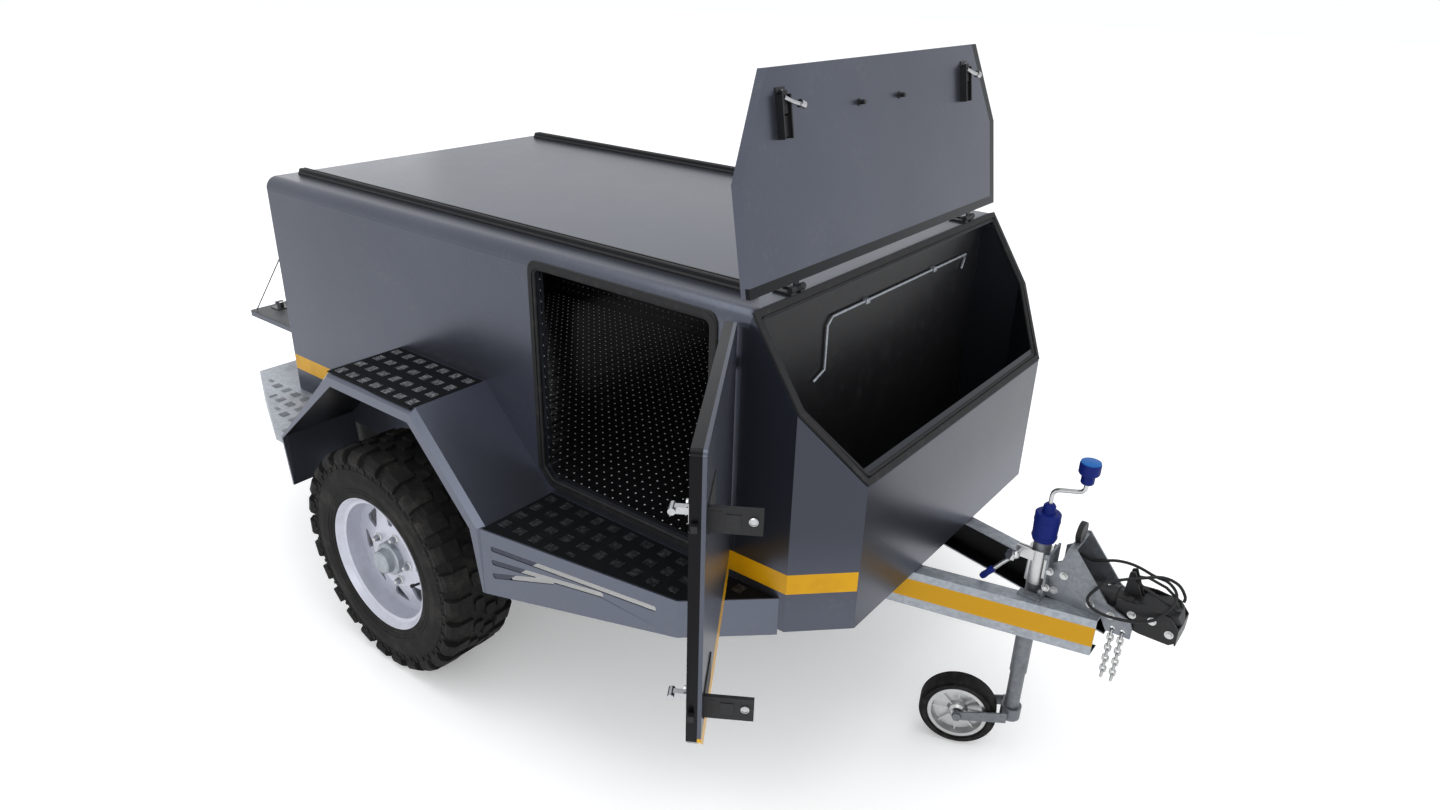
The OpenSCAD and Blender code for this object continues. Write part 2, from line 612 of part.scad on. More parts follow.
// Jockey wheel: bracket and clamp on the rail, outer tube, housing, crank, leg, fork and wheel
jack_top = bar_z1 + jack_up;
clamp_r = jack_r + 7;
clamp_h = 104;
plate_x = 32;
module at_jack() translate([jack_x, -jack_y, 0]) children();
module on_rails(z) translate([0, 0, bar_z1 + z]) children();
module jack_bracket() color(zinc) framed() at_jack() on_rails(0) {
  translate([-24, -66, 0]) cube([base_x0 - jack_x + 24, 26, 8]);
  translate([plate_x, -46, 0]) cube([base_x0 - jack_x - plate_x, 84, 138]);
  for (z = [14, 126], y = [-38, 30]) translate([plate_x - 8, y, z]) rotate([0, 90, 0])
    cylinder(h = 9, r = 8, $fn = 6);
}
// The clamp: a split ring on a square flange, with its screw and lever
module jack_clamp() color(zinc) framed() at_jack() on_rails(26) {
  difference() {
    union() {
      cylinder(h = clamp_h, r = clamp_r, $fn = 48);
      translate([0, -24, 24]) cube([plate_x, 48, 58]);
      translate([-58, -clamp_r - 2, 72]) cube([50, 18, 32]);
    }
    translate([0, 0, -1]) cylinder(h = clamp_h + 2, r = jack_r, $fn = 48);
    translate([-60, -jack_r - 2, -1]) cube([50, 5, clamp_h + 2]);
  }
  translate([-46, -62, 90]) rotate([-90, 0, 0]) cylinder(h = 38, r = 6, $fn = 24);
  translate([-46, -62, 90]) sphere(11, $fn = 24);
  bent_tube([[-46, -62, 90], [-74, -64, 58], [-122, -66, -6]], 5.5, 10, [0, 1, 0]);
}
module jack_tube() color(zinc) framed() at_jack() difference() {
  translate([0, 0, tube_z0]) cylinder(h = jack_top - tube_z0, r = jack_r, $fn = 48);
  translate([0, 0, tube_z0 - 1]) cylinder(h = jack_top - tube_z0 - 8, r = leg_r + run_gap, $fn = 48);
}
module jack_housing() color(jack_blue) framed() at_jack() on_rails(jack_up) rotate_extrude($fn = 64)
  polygon([[0, 0], [30, 0], [32, 6], [34, 70], [34, 80], [31, 83], [18, 84], [16, 104], [11, 110],
    [0, 110]]);
crank_pts = [[0, 0, 110], [0, 0, 134], [2, 0, 144], [8, 0, 152], [18, 0, 157], [64, 0, 169], [73, 0, 173],
  [79, 0, 181], [80, 0, 192], [80, 0, 200]];
module jack_crank() color(zinc) framed() at_jack() on_rails(jack_up) bent_tube(crank_pts, 6, 10, [0, 1, 0]);
module jack_knob() color(jack_blue) framed() at_jack() translate([80, 0, jack_top + 200])
  rotate_extrude($fn = 64) polygon([[0, 0], [15, 0], [17, 3], [17, 24], [25, 28], [27, 32], [27, 56],
    [24, 60], [0, 60]]);
module jack_leg() color(zinc) framed() at_jack() translate([0, 0, fork_z1 + 1])
  cylinder(h = jack_top - 135 - fork_z1 - 1, r = leg_r, $fn = 48);
fork_z0 = 124;
fork_z1 = 164;
module at_fork() at_jack() rotate([0, 0, swivel]) children();
module jack_fork() color(zinc) framed() at_fork() {
  cheek = jwheel_w / 2 + 8;
  translate([0, 0, fork_z0]) cylinder(h = fork_z1 - fork_z0, r = 29, $fn = 48);
  for (s = [-1, 1]) along_y(s * cheek - 2.5, s * cheek + 2.5) union() {
    polygon([[-10, fork_z0 + 2], [-10, fork_z1 - 4], [-56, fork_z1 - 14], [-trail, jwheel_r + 14],
      [-trail, jwheel_r - 14], [-62, fork_z0 - 8]]);
    translate([-trail, jwheel_r]) circle(14, $fn = 32);
  }
  translate([-24, -cheek - 2.5, fork_z0 + 2]) cube([14, 2 * cheek + 5, fork_z1 - fork_z0 - 6]);
  translate([-trail, cheek + 9, jwheel_r]) rotate([90, 0, 0]) cylinder(h = 2 * cheek + 18, r = 8, $fn = 32);
  for (s = [-1, 1]) translate([-trail, s * (cheek + 6) + 3.5, jwheel_r]) rotate([90, 0, 0])
    cylinder(h = 7, r = 14, $fn = 6);
}
module at_jwheel() at_fork() translate([-trail, 0, jwheel_r]) rotate([90, 0, 0]) children();
module jack_rim() color(zinc) framed() at_jwheel() {
  rotate_extrude($fn = 96) polygon([[8.1, -27], [18, -27], [25, -21], [31, -8], [70, -8], [76, -28],
    [86, -28], [86, 28], [76, 28], [70, 8], [31, 8], [25, 21], [18, 27], [8.1, 27]]);
  for (k = [0 : 7]) rotate([0, 0, 45 * k]) translate([24, -2.5, -16]) cube([50, 5, 32]);
}
module jack_tyre() color(rubber_black) framed() at_jwheel() rotate_extrude($fn = 96) union() {
  translate([86, -27]) square([14, 54]);
  translate([92, -jwheel_w / 2]) square([10, jwheel_w]);
  translate([jwheel_r - 12, -22]) square([12, 44]);
}

// Road wheels, drawn with the axis up and the outer face on top
module at_wheel(left) translate([0, (left ? 1 : -1) * wheel_y, tyre_r])
  rotate([left ? -90 : 90, 0, 0]) children();
base_r = tyre_r - tread_h;
half_w = tyre_w / 2;
lug_w = 50;
// Half of the tyre's section: X out from the axle, Y out from the middle plane
tyre_pts = [[rim_r - 16, 96.8], [rim_r - 2, 104.4], [rim_r + 0.3, 106.6], [rim_r + 0.3, 112],
  [rim_r + 8, 116], [rim_r + 62, half_w - 3], [base_r - 30, half_w - 8],
  [base_r - 12, half_w - 22], [base_r, half_w - 38]];
// A shoulder lug's outline in the same terms
lug_pts = [[base_r - 34, half_w - 20], [base_r - 34, half_w - 5], [base_r - 20, half_w],
  [base_r - 4, half_w - 4], [tyre_r - 3, half_w - 22], [tyre_r - 1, 46], [base_r - 5, 44],
  [base_r - 8, half_w - 38]];
module tyre() {
  rotate_extrude($fn = 96) polygon(concat(tyre_pts, [for (q = reversed(tyre_pts)) [q[0], -q[1]]]));
  for (k = [0 : lugs - 1], s = [0, 1]) rotate([0, 0, (k + s / 2) * 360 / lugs]) mirror([0, 0, s])
    translate([0, lug_w / 2, 0]) rotate([90, 0, 0]) linear_extrude(lug_w) polygon(lug_pts);
}
module tyre_right() color(rubber_black) framed() at_wheel(false) tyre();
module tyre_left() color(rubber_black) framed() at_wheel(true) tyre();
stud_r = 7;
disc_flat = 100;
module at_studs() for (k = [0 : 4]) rotate([0, 0, 72 * k]) translate([80, 0, 0]) children();
module rim() difference() {
  union() {
    rotate_extrude($fn = 128) polygon([[rim_r - 26, 92], [rim_r - 16.2, 97], [rim_r - 2, 114.5],
      [rim_r, 114.5], [rim_r, 107], [rim_r - 2.2, 105], [rim_r - 16.2, 97.5], [rim_r - 16.2, -97.5],
      [rim_r - 2.2, -105], [rim_r, -107], [rim_r, -114.5], [rim_r - 3, -114.5], [rim_r - 20, -98],
      [rim_r - 22, -90]]);
    rotate_extrude($fn = 128) polygon([[55.2, disc_z], [disc_flat, disc_z], [disc_flat + 70, disc_z - dish],
      [rim_r - 18, disc_z - dish], [rim_r - 18, disc_z - dish + disc_t],
      [disc_flat + 72, disc_z - dish + disc_t], [disc_flat + 2, disc_z + disc_t], [55.2, disc_z + disc_t]]);
  }
  for (k = [0 : windows - 1]) rotate([0, 0, 360 * k / windows]) translate([0, 0, disc_z - dish - 1])
    linear_extrude(dish + disc_t + 2)
      polygon([[112, -7], [150, -34], [164, -32], [164, 32], [150, 34], [112, 7]]);
  at_studs() translate([0, 0, disc_z - 1]) cylinder(h = disc_t + 2, r = stud_r + 0.3, $fn = 24);
}
module rim_right() color(rim_steel) framed() at_wheel(false) rim();
module rim_left() color(rim_steel) framed() at_wheel(true) rim();
module hub() difference() {
  drum_z = drum_y0 - wheel_y;
  union() {
    rotate_extrude($fn = 96) polygon([[0, drum_z], [118, drum_z], [118, drum_z + 62], [62, drum_z + 66],
      [60, disc_z - 16], [96, disc_z - 13], [96, disc_z - 0.2], [55, disc_z - 0.2], [55, disc_z + 24],
      [51, disc_z + 28], [41, disc_z + 30], [38, disc_z + 50], [33, disc_z + 55], [0, disc_z + 55]]);
    at_studs() {
      translate([0, 0, disc_z - 1]) cylinder(h = 28, r = stud_r, $fn = 24);
      translate([0, 0, disc_z + disc_t + 0.2]) cylinder(h = 14, r = 11, $fn = 6);
    }
  }
  translate([0, 0, drum_z - 1]) cylinder(h = 46 - drum_z, r = spindle_r + run_gap, $fn = 48);
}
module hub_right() color(zinc) framed() at_wheel(false) hub();
module hub_left() color(zinc) framed() at_wheel(true) hub();

// Side doors, drawn closed on the right side
module swung(open) translate([hinge_x, -hinge_y, 0]) rotate([0, 0, open]) translate([-hinge_x, hinge_y, 0])
  children();
door_hinge_zs = [door_z0 + 120, door_z1 - 120];
module door_pin(z0, z1) translate([hinge_x, -hinge_y, z0])
  cylinder(h = z1 - z0, r = hinge_pin_r - 0.3, $fn = 32);
module door_panel() {
  along_y(-door_y - door_t, -door_y) door_outline(0, 14);
  for (z = door_hinge_zs) {
    door_pin(z - 15, z + 15);
    translate([door_x1 - 1, -door_y - 6, z - 15]) cube([hinge_x - door_x1 + 1, 5, 30]);
  }
}
module door_hinges() color(trim_black) framed() for (left = [false, true], z = door_hinge_zs, e = [-1, 1])
  on_side(left) {
    door_pin(z + e * 31 - 15, z + e * 31 + 15);
    translate([hinge_x - 2, -body_half - 5, z + e * 31 - 15]) cube([22, 5, 30]);
  }
// Latches: a tray near the free edge, and a paddle that stands out of it when popped open
latch_zs = [820, 1240];
latch_x = door_x0 + 35;
module door_latch(popped) for (z = latch_zs) translate([0, 0, z]) {
  translate([latch_x - 6, -door_y - door_t - 3, -32]) cube([122, 3, 64]);
  translate([latch_x, -door_y - door_t - 3, 0]) rotate([0, 0, popped ? -90 : 0])
    translate([-3, -9, -26]) cube([98, 9, 52]);
  translate([door_x0 - 12, -door_y - 16, -7]) cube([12, 12, 14]);
}
module door_right() color(body_grey) framed() swung(door_open) door_panel();
module door_latches_right() color(trim_black) framed() swung(door_open) door_latch(true);
module door_left() color(body_grey) framed() on_side(true) door_panel();
module door_latches_left() color(trim_black) framed() on_side(true) door_latch(false);

// Nose lid, drawn closed and swung back about its pins
module lid_swung() translate([roof_end, 0, body_top + lid_pin_z]) rotate([0, -lid_open, 0])
  translate([-roof_end, 0, -body_top - lid_pin_z]) children();
lid_pin_r = 8;
lid_hinge_y = body_half - 186;
module lid_pin(y0, y1) translate([roof_end, y1, body_top + lid_pin_z]) rotate([90, 0, 0])
  cylinder(h = y1 - y0, r = lid_pin_r, $fn = 48);
module lid_hinges() color(trim_black) framed() for (s = [-1, 1], e = [-1, 1]) {
  y = s * lid_hinge_y + e * 20;
  lid_pin(y - 9.5, y + 9.5);
  translate([roof_end - 50, y - 9.5, body_top]) cube([55, 19, lid_pin_z - lid_pin_r + 1]);
}
module nose_lid() color(body_grey) framed() lid_swung() {
  for (s = [-1, 1]) {
    lid_pin(s * lid_hinge_y - 10, s * lid_hinge_y + 10);
    on_slope() translate([-10, s * lid_hinge_y - 10, seal_gap]) cube([16, 20, 5]);
  }
  on_slope() translate([0, 0, seal_gap]) linear_extrude(lid_t) difference() {
    lid_outline(0);
    translate([-1, -body_half - 1]) square([5, 2 * body_half + 2]);
  }
}
// Latches of the lid: a tray outside and a hook inside, which reaches under the nose's edge when shut
latch_ys = [-492, 443];
latch_u = slope_l - 95;
module lid_latches() color(trim_black) framed() lid_swung() on_slope()
  for (y = latch_ys) translate([latch_u, y, seal_gap]) {
    translate([-31, -40, lid_t]) cube([62, 80, 6]);
    translate([-20, -26, lid_t + 5]) cube([40, 52, 5]);
    translate([-6, -10, -14]) cube([8, 20, 14]);
    translate([-6, -10, -14]) cube([50, 20, 5]);
  }

// Tailgate, drawn lowered to the horizontal behind its hinge
gate_pin_r = 6;
gate_hinge_y = gate_half - 140;
gate_pin_x = -body_rear - seal_gap - gate_t / 2;
gate_pin_z = gate_z0 - gate_t / 2;
gate_x1 = gate_pin_x - gate_pin_r;
module gate_pin(y0, y1) translate([gate_pin_x, y1, gate_pin_z]) rotate([90, 0, 0])
  cylinder(h = y1 - y0, r = gate_pin_r - 0.3, $fn = 32);
module gate_hinges() color(trim_black) framed() for (s = [-1, 0, 1], e = [-1, 1]) {
  y = s * gate_hinge_y + e * 40;
  gate_pin(y - 19.5, y + 19.5);
  translate([gate_pin_x, y - 19.5, gate_pin_z - 4]) cube([-body_rear - gate_pin_x, 39, 8]);
}
module tailgate() color(body_grey) framed() {
  translate([gate_x1 - gate_h, -gate_half, gate_z0 - gate_t]) cube([gate_h, 2 * gate_half, gate_t]);
  for (s = [-1, 0, 1]) {
    gate_pin(s * gate_hinge_y - 20, s * gate_hinge_y + 20);
    translate([gate_x1 - 1, s * gate_hinge_y - 20, gate_pin_z - 3]) cube([gate_pin_r + 1, 40, 6]);
  }
}
module gate_latches() color(trim_black) framed() for (s = [-1, 1])
  translate([gate_x1 - gate_h + 34, s * gate_hinge_y, gate_z0]) {
    translate([0, -42, -gate_t - 6]) cube([64, 84, 6]);
    translate([8, -26, -gate_t - 10]) cube([48, 52, 5]);
    translate([-2, -8, 0]) cube([20, 16, 10]);
  }

side_right();
side_left();
roof();
floor();
bulkhead();
nose();
rear_frame();
door_seals();
nose_seal();
cover_right();
cover_left();
step_right();
step_left();
roof_rails();
lid_hinges();
door_hinges();
gate_hinges();
rear_bumper();
bumper_caps();
rear_steps();
tail_lamps();
chassis_rails();
cross_members();
drawbars();
axle();
leaf_springs();
coupling_base();
coupling_tube();
coupling_head();
coupling_lever();
brake_cable();
safety_chain();
jack_bracket();
jack_clamp();
jack_tube();
jack_housing();
jack_crank();
jack_knob();
jack_leg();
jack_fork();
jack_rim();
jack_tyre();
tyre_right();
rim_right();
hub_right();
tyre_left();
rim_left();
hub_left();
door_right();
door_latches_right();
door_left();
door_latches_left();
nose_lid();
lid_latches();
tailgate();
gate_latches();
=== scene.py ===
"""Finishes and small details of an off-road box trailer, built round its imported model.

Everything is in metres in the model's own frame: X points forward to the coupling,
Y to the left and Z up, with the hitch ball's centre as the origin."""
import json
import math

import bmesh
import bpy
from mathutils import Matrix, Vector


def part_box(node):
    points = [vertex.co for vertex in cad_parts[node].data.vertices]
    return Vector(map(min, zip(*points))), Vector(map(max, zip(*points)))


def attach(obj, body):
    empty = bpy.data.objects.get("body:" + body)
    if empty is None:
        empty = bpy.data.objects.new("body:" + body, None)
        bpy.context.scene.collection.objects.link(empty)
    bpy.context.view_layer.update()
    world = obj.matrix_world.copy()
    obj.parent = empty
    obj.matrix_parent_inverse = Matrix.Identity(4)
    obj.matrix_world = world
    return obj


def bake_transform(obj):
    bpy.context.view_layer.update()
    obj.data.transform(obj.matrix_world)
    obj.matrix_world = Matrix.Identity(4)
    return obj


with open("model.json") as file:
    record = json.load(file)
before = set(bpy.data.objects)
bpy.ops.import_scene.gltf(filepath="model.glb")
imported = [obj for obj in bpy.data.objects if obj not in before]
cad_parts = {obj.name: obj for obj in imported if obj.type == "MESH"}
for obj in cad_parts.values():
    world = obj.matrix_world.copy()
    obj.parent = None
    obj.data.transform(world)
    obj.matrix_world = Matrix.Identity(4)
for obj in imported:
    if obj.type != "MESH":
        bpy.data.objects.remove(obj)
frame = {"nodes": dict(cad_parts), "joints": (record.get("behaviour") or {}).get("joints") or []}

bl_info = {
    "name": "Off-road Box Trailer",
    "version": (1, 0, 0),
    "blender": (4, 5, 0),
    "location": "View3D > Sidebar > Trailer",
    "description": "Dresses the packed trailer with its finishes and small details",
    "category": "Object",
}

SIDES = (("right", -1), ("left", 1))
NODES = frame["nodes"]

# The axle line and the road, from the tyre, and the panels that details sit on
TYRE_LOW, TYRE_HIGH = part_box("tyre_right")
AXLE_X = (TYRE_LOW.x + TYRE_HIGH.x) / 2
ROAD_Z = TYRE_LOW.z
SIDE_LOW, SIDE_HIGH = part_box("side_right")
NOSE_LOW, NOSE_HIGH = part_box("nose")
DOOR_LOW, DOOR_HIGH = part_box("door_left")
BODY_HALF = -SIDE_LOW.y
WALL = 0.025
DOOR_THICK = 0.030
SEAL_GAP = 0.006
DOOR_LENGTH = 0.650
# Paint covers a door's outer skin from this depth, and its tray is black
DOOR_SKIN = 0.022
# How far the right door and the nose lid stand open
DOOR_OPEN = math.radians(122.6)
LID_OPEN = math.radians(155)
# The nose, from the axle line and the road: where the roof ends above its sloping opening, where its
# sides turn in, its front face, and half the width of that face
ROOF_END = 1.170
SLOPE_TOP = 1.408
SLOPE_RUN = 0.272
SLOPE_DROP = 0.408
NOSE_KINK = 1.313
NOSE_TIP = 1.442
TIP_HALF = 0.533
SLOPE = math.atan2(SLOPE_DROP, SLOPE_RUN)
SLOPE_LENGTH = math.hypot(SLOPE_DROP, SLOPE_RUN)
KINK_DOWN = (NOSE_KINK - ROOF_END) / math.cos(SLOPE)
# The amber band round the body, the tailgate, and both ends of a drawbar rail's outer face
BAND_LOW, BAND_HIGH = ROAD_Z + 0.705, ROAD_Z + 0.762
GATE_HALF = 0.560
GATE_LOW, GATE_HIGH = 0.785, 1.247
RAIL_REAR, RAIL_FRONT = (0.700, 0.3667), (1.911, 0.0826)
RAIL_SLOPE = (RAIL_REAR[1] - RAIL_FRONT[1]) / (RAIL_FRONT[0] - RAIL_REAR[0])
# Gap between the chequer sheets and the body's side
STEP_LAP = 0.004
# The upright axis of the jockey wheel's tube
JACK_X, JACK_Y = 1.724, -0.040


def at(x, y, z):
    """A point given from the axle line and the road."""
    return Vector((AXLE_X + x, y, ROAD_Z + z))


def hinge(name):
    """A point on the axis of a joint."""
    return Vector(next(j for j in frame["joints"] if j["name"] == name)["pos_m"])


class Val:
    """A shader socket, so that shader maths reads as plain expressions."""

    def __init__(self, look, socket):
        self.look = look
        self.socket = socket

    def maths(self, operation, *values):
        return self.look.node("ShaderNodeMath", {"operation": operation}, dict(enumerate(values)))

    def __add__(self, other):
        return self.maths("ADD", self, other)

    def __radd__(self, other):
        return self.maths("ADD", other, self)

    def __sub__(self, other):
        return self.maths("SUBTRACT", self, other)

    def __rsub__(self, other):
        return self.maths("SUBTRACT", other, self)

    def __mul__(self, other):
        return self.maths("MULTIPLY", self, other)

    def __rmul__(self, other):
        return self.maths("MULTIPLY", other, self)

    def __truediv__(self, other):
        return self.maths("DIVIDE", self, other)

    def __gt__(self, other):
        return self.maths("GREATER_THAN", self, other)

    def __lt__(self, other):
        return self.maths("LESS_THAN", self, other)

    def most(self, other):
        return self.maths("MAXIMUM", self, other)

    def size(self):
        return self.maths("ABSOLUTE", self)

    def wrap(self, low, high):
        return self.maths("WRAP", self, high, low)

    def ramp(self, low, high):
        """0 at low and 1 at high, smooth between."""
        return self.look.node("ShaderNodeMapRange", {"interpolation_type": "SMOOTHSTEP"},
                              {"Value": self, "From Min": low, "From Max": high})


class Look:
    """One material, with its nodes made by a few calls."""

    def __init__(self, name):
        self.material = bpy.data.materials.new(name)
        self.material.use_nodes = True
        self.tree = self.material.node_tree
        self.shader = self.tree.nodes["Principled BSDF"]
        self.place = self.node("ShaderNodeTexCoord", {}, {}, "Object")

    def node(self, kind, settings, sockets, output=0):
        """A node of that type: its settings first, then its sockets' values or links."""
        made = self.tree.nodes.new(kind)
        for key, value in settings.items():
            if key == "stops":
                self.set_stops(made.color_ramp, value)
            else:
                setattr(made, key, value)
        for key, value in sockets.items():
            if isinstance(value, Val):
                self.tree.links.new(value.socket, made.inputs[key])
            else:
                made.inputs[key].default_value = value
        return Val(self, made.outputs[output])

    @staticmethod
    def set_stops(ramp, stops):
        while len(ramp.elements) < len(stops):
            ramp.elements.new(0.5)
        for element, (place, colour) in zip(ramp.elements, stops):
            element.position = place
            element.color = (*colour, 1)

    def axes(self, place=None):
        parts = self.node("ShaderNodeSeparateXYZ", {}, {0: place or self.place})
        return [Val(self, parts.socket.node.outputs[i]) for i in range(3)]

    def noise(self, scale, detail=3.0, rough=0.55, place=None, stretch=None):
        spot = place or self.place
        if stretch:
            spot = self.node("ShaderNodeVectorMath", {"operation": "MULTIPLY"}, {0: spot, 1: stretch})
        return self.node("ShaderNodeTexNoise", {},
                         {"Vector": spot, "Scale": scale, "Detail": detail, "Roughness": rough})

    def mix(self, first, second, share):
        """From the first colour to the second as share goes from 0 to 1."""
        values = {0: share}
        for index, colour in ((6, first), (7, second)):
            values[index] = colour if isinstance(colour, Val) else (*colour, 1)
        return self.node("ShaderNodeMix", {"data_type": "RGBA"}, values, 2)

    def paint(self, colour, rough, metal=0.0, coat=0.0, coat_rough=0.1, bump=None, depth=0.0002,
              specular=0.5):
        """Sets the surface: numbers on the shader's own sockets, and links for what varies."""
        self.plug("Base Color", colour if isinstance(colour, Val) else (*colour, 1))
        self.plug("Roughness", rough)
        self.plug("Metallic", metal)
        self.plug("Coat Weight", coat)
        self.plug("Coat Roughness", coat_rough)
        self.plug("Specular IOR Level", specular)
        if bump is not None:
            self.plug("Normal", self.node("ShaderNodeBump", {}, {"Height": bump, "Distance": depth}))
        return self.material

    def plug(self, name, value):
        socket = self.shader.inputs[name]
        if isinstance(value, Val):
            self.tree.links.new(value.socket, socket)
        else:
            socket.default_value = value


# Materials, one function for each finish
MADE = {}


def once(make):
    """Keeps each material after its first making."""
    def made(*values):
        key = (make.__name__, *values)
        if key not in MADE:
            MADE[key] = make(*values)
        return MADE[key]
    return made


def colours():
    return bpy.context.scene.trailer_colours


@once
def body_paint(where="none"):
    """Metallic charcoal paint with dust, and the amber band where the panel carries it, with painted shade
    high on the nose, along the open lid's inner edges and on the covers' undersides.
    """
    look = Look("body_paint_" + where)
    tone = colours()
    x, y, z = look.axes()
    cloud = look.noise(2.2, 2.0, 0.5)
    dust = look.noise(9.0, 6.0, 0.7) * look.noise(70.0, 2.0)
    flake = look.noise(900.0, 1.0)
    base = look.mix(tone.paint, [c * 1.3 for c in tone.paint], cloud.ramp(0.35, 0.75) * 0.4)
    base = look.mix(base, (0.20, 0.20, 0.20), dust.ramp(0.26, 0.44) * 0.10)
    base = look.mix(base, [c * 1.8 for c in tone.paint], flake.ramp(0.62, 0.72) * 0.15)
    rough = 0.25 + cloud * 0.06 + dust * 0.12
    metal = 0.8
    if where == "gate":
        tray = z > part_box("tailgate")[1].z - 0.0035
        base = look.mix(base, (0.035, 0.036, 0.041), tray)
        rough = rough + tray * 0.2
        return look.paint(base, rough, 0.8 - tray * 0.8, specular=0.2)
    if where == "lid":
        base = look.mix(base, (0.008, 0.009, 0.011), lid_shade(x, y, z))
    if where not in ("none", "lid", "cover"):
        face = outside(where, x, y)
        band = (z > BAND_LOW) * (z < BAND_HIGH) * face
        if where == "side":
            band = band * (1 - (x > DOOR_LOW.x - 0.08) * (x < DOOR_LOW.x + DOOR_LENGTH + 0.02))
        if "door" in where:
            base = look.mix((0.008, 0.008, 0.009), base, face)
        if where == "nose":
            # Painted shade: the nose's paint darkens upwards, from 0.62 m to 0.90 m above the road.
            base = look.mix(base, [c * 0.62 for c in tone.paint], z.ramp(ROAD_Z + 0.62, ROAD_Z + 0.90))
            base = look.mix(base, (0.030, 0.033, 0.040), inner_nose(x, y, z))
        amber = look.mix(tone.band, [c * 0.86 for c in tone.band], look.noise(14.0, 4.0).ramp(0.4, 0.7))
        base = look.mix(base, amber, band)
        metal = 0.8 - band * 0.8
    if where == "cover":
        base = look.mix(base, [c * 1.9 for c in tone.paint], 0.45)
        # Painted shade: the covers' faces that look down or in towards the body are painted near black.
        base = look.mix(base, (0.008, 0.008, 0.009), underside_shade(look, y))
    return look.paint(base, rough, metal, coat=0.05, coat_rough=0.15, specular=0.15,
                      bump=look.noise(160.0, 2.0), depth=0.00010)


def outside(where, x, y):
    """1 on the outer face of a panel and 0 on its inner face."""
    if where == "side":
        return y.size() > BODY_HALF - 0.004
    if where == "door":
        return y.size() > BODY_HALF + SEAL_GAP + DOOR_SKIN
    if where == "open_door":
        out = Vector((math.sin(DOOR_OPEN), -math.cos(DOOR_OPEN)))
        pin = hinge("right_door_swing")
        return (x - pin.x) * out.x + (y - pin.y) * out.y > DOOR_SKIN
    tip, reach = nose_reach(x, y)
    return ((y.size() > BODY_HALF - 0.004).most(reach > BODY_HALF - 0.006)) * (x < tip.x - 0.0015)


def nose_reach(x, y):
    """The nose's front edge, and how far out a point lies, measured along its slanted cheek."""
    kink, tip = at(NOSE_KINK, BODY_HALF, 0), at(NOSE_TIP, TIP_HALF, 0)
    slope = (kink.y - tip.y) / (tip.x - kink.x)
    return tip, y.size() + (x - kink.x) * slope


def underside_shade(look, y):
    """1 on the faces of a wheel cover that look down or in towards the body, which carry painted shade."""
    _, across, up = look.axes(look.node("ShaderNodeNewGeometry", {}, {}, "True Normal"))
    return (up < -0.2).most(across * y < -0.45 * BODY_HALF)


def lid_shade(x, y, z):
    """1 along the left and hinge edges of the open lid's inner face, which lie in shade."""
    place = lid_place()
    origin, along, out = place.translation, place.col[0], place.col[2]
    down = (x - origin.x) * along.x + (z - origin.z) * along.z
    depth = (x - origin.x) * out.x + (z - origin.z) * out.z
    slope = (BODY_HALF - TIP_HALF) / (SLOPE_LENGTH - KINK_DOWN)
    reach = y + ((down - KINK_DOWN) * slope).most(0.0)
    return (depth < 0.012) * (reach > BODY_HALF - 0.030).most(down < 0.030)


def inner_nose(x, y, z):
    """1 on the faces inside the nose box."""
    tip, reach = nose_reach(x, y)
    within = (y.size() < BODY_HALF - 0.004) * (reach < BODY_HALF - 0.006) * (x < tip.x - 0.003)
    return within * (z > NOSE_LOW.z + 0.003) * (z < ROAD_Z + 1.36)


@once
def black_liner(flat=False):
    """Black crinkled lining with a square grid of small studs, painted as bright glints that glow a little.
    """
    look = Look("studded_lining")
    x, y, z = look.axes()
    pitch = 0.032
    a, b = ((x, y) if flat else (x + y, z))
    a, b = a.wrap(-pitch / 2, pitch / 2), b.wrap(-pitch / 2, pitch / 2)
    stud_glints = (a * a + b * b) < 0.0023 ** 2
    creases = look.noise(1.0, 2.0, 0.5, stretch=(34, 4, 34) if flat else (4, 4, 34))
    bright = (0.8, 0.8, 0.8) if flat else (0.3, 0.3, 0.3)
    # Painted highlight: each stud is a bright glint, brighter on the floor than on the walls.
    base = look.mix((0.007, 0.007, 0.008), bright, stud_glints)
    # Painted light: the glints glow, more on the floor than on the walls.
    look.plug("Emission Color", look.mix((0, 0, 0), (1, 1, 1), stud_glints))
    look.plug("Emission Strength", 0.11 if flat else 0.02)
    return look.paint(base, 0.12 + look.noise(40.0) * 0.14, bump=creases, depth=0.0018, specular=0.5)


def worn(name, fresh, aged, grain, share, rough, fine=None, **settings):
    """A finish that is aged where its grain is high, as much as its share says, and rougher there."""
    look = Look(name)
    wear = look.noise(*grain)
    part = wear.ramp(*share[:2]) * share[2] if share else wear
    if fine:
        settings["bump"] = look.noise(*fine)
    return look.paint(look.mix(fresh, aged, part), rough[0] + wear * rough[1], **settings)


@once
def satin_black(rough=0.42):
    """Satin black paint with light dust."""
    return worn("satin_black", (0.008, 0.008, 0.009), (0.05, 0.05, 0.05), (25.0, 6.0, 0.7), (0.5, 0.85, 0.3),
                (rough, 0.2), (500.0, 2.0), depth=0.00008, specular=0.3)


@once
def rubber():
    """Matt black rubber."""
    return worn("black_rubber", (0.009, 0.009, 0.010), (0.06, 0.058, 0.055), (30.0, 5.0, 0.7),
                (0.5, 0.8, 0.5), (0.55, 0.25), (420.0, 3.0), depth=0.0001, specular=0.3)


@once
def tread_sheet():
    """Black coated chequer sheet, dusty between its bars."""
    return worn("black_chequer_sheet", (0.004, 0.0045, 0.0055), (0.04, 0.04, 0.042), (22.0, 6.0, 0.75),
                (0.52, 0.85, 0.3), (0.5, 0.28), (240.0, 3.0), depth=0.0002, specular=0.08)


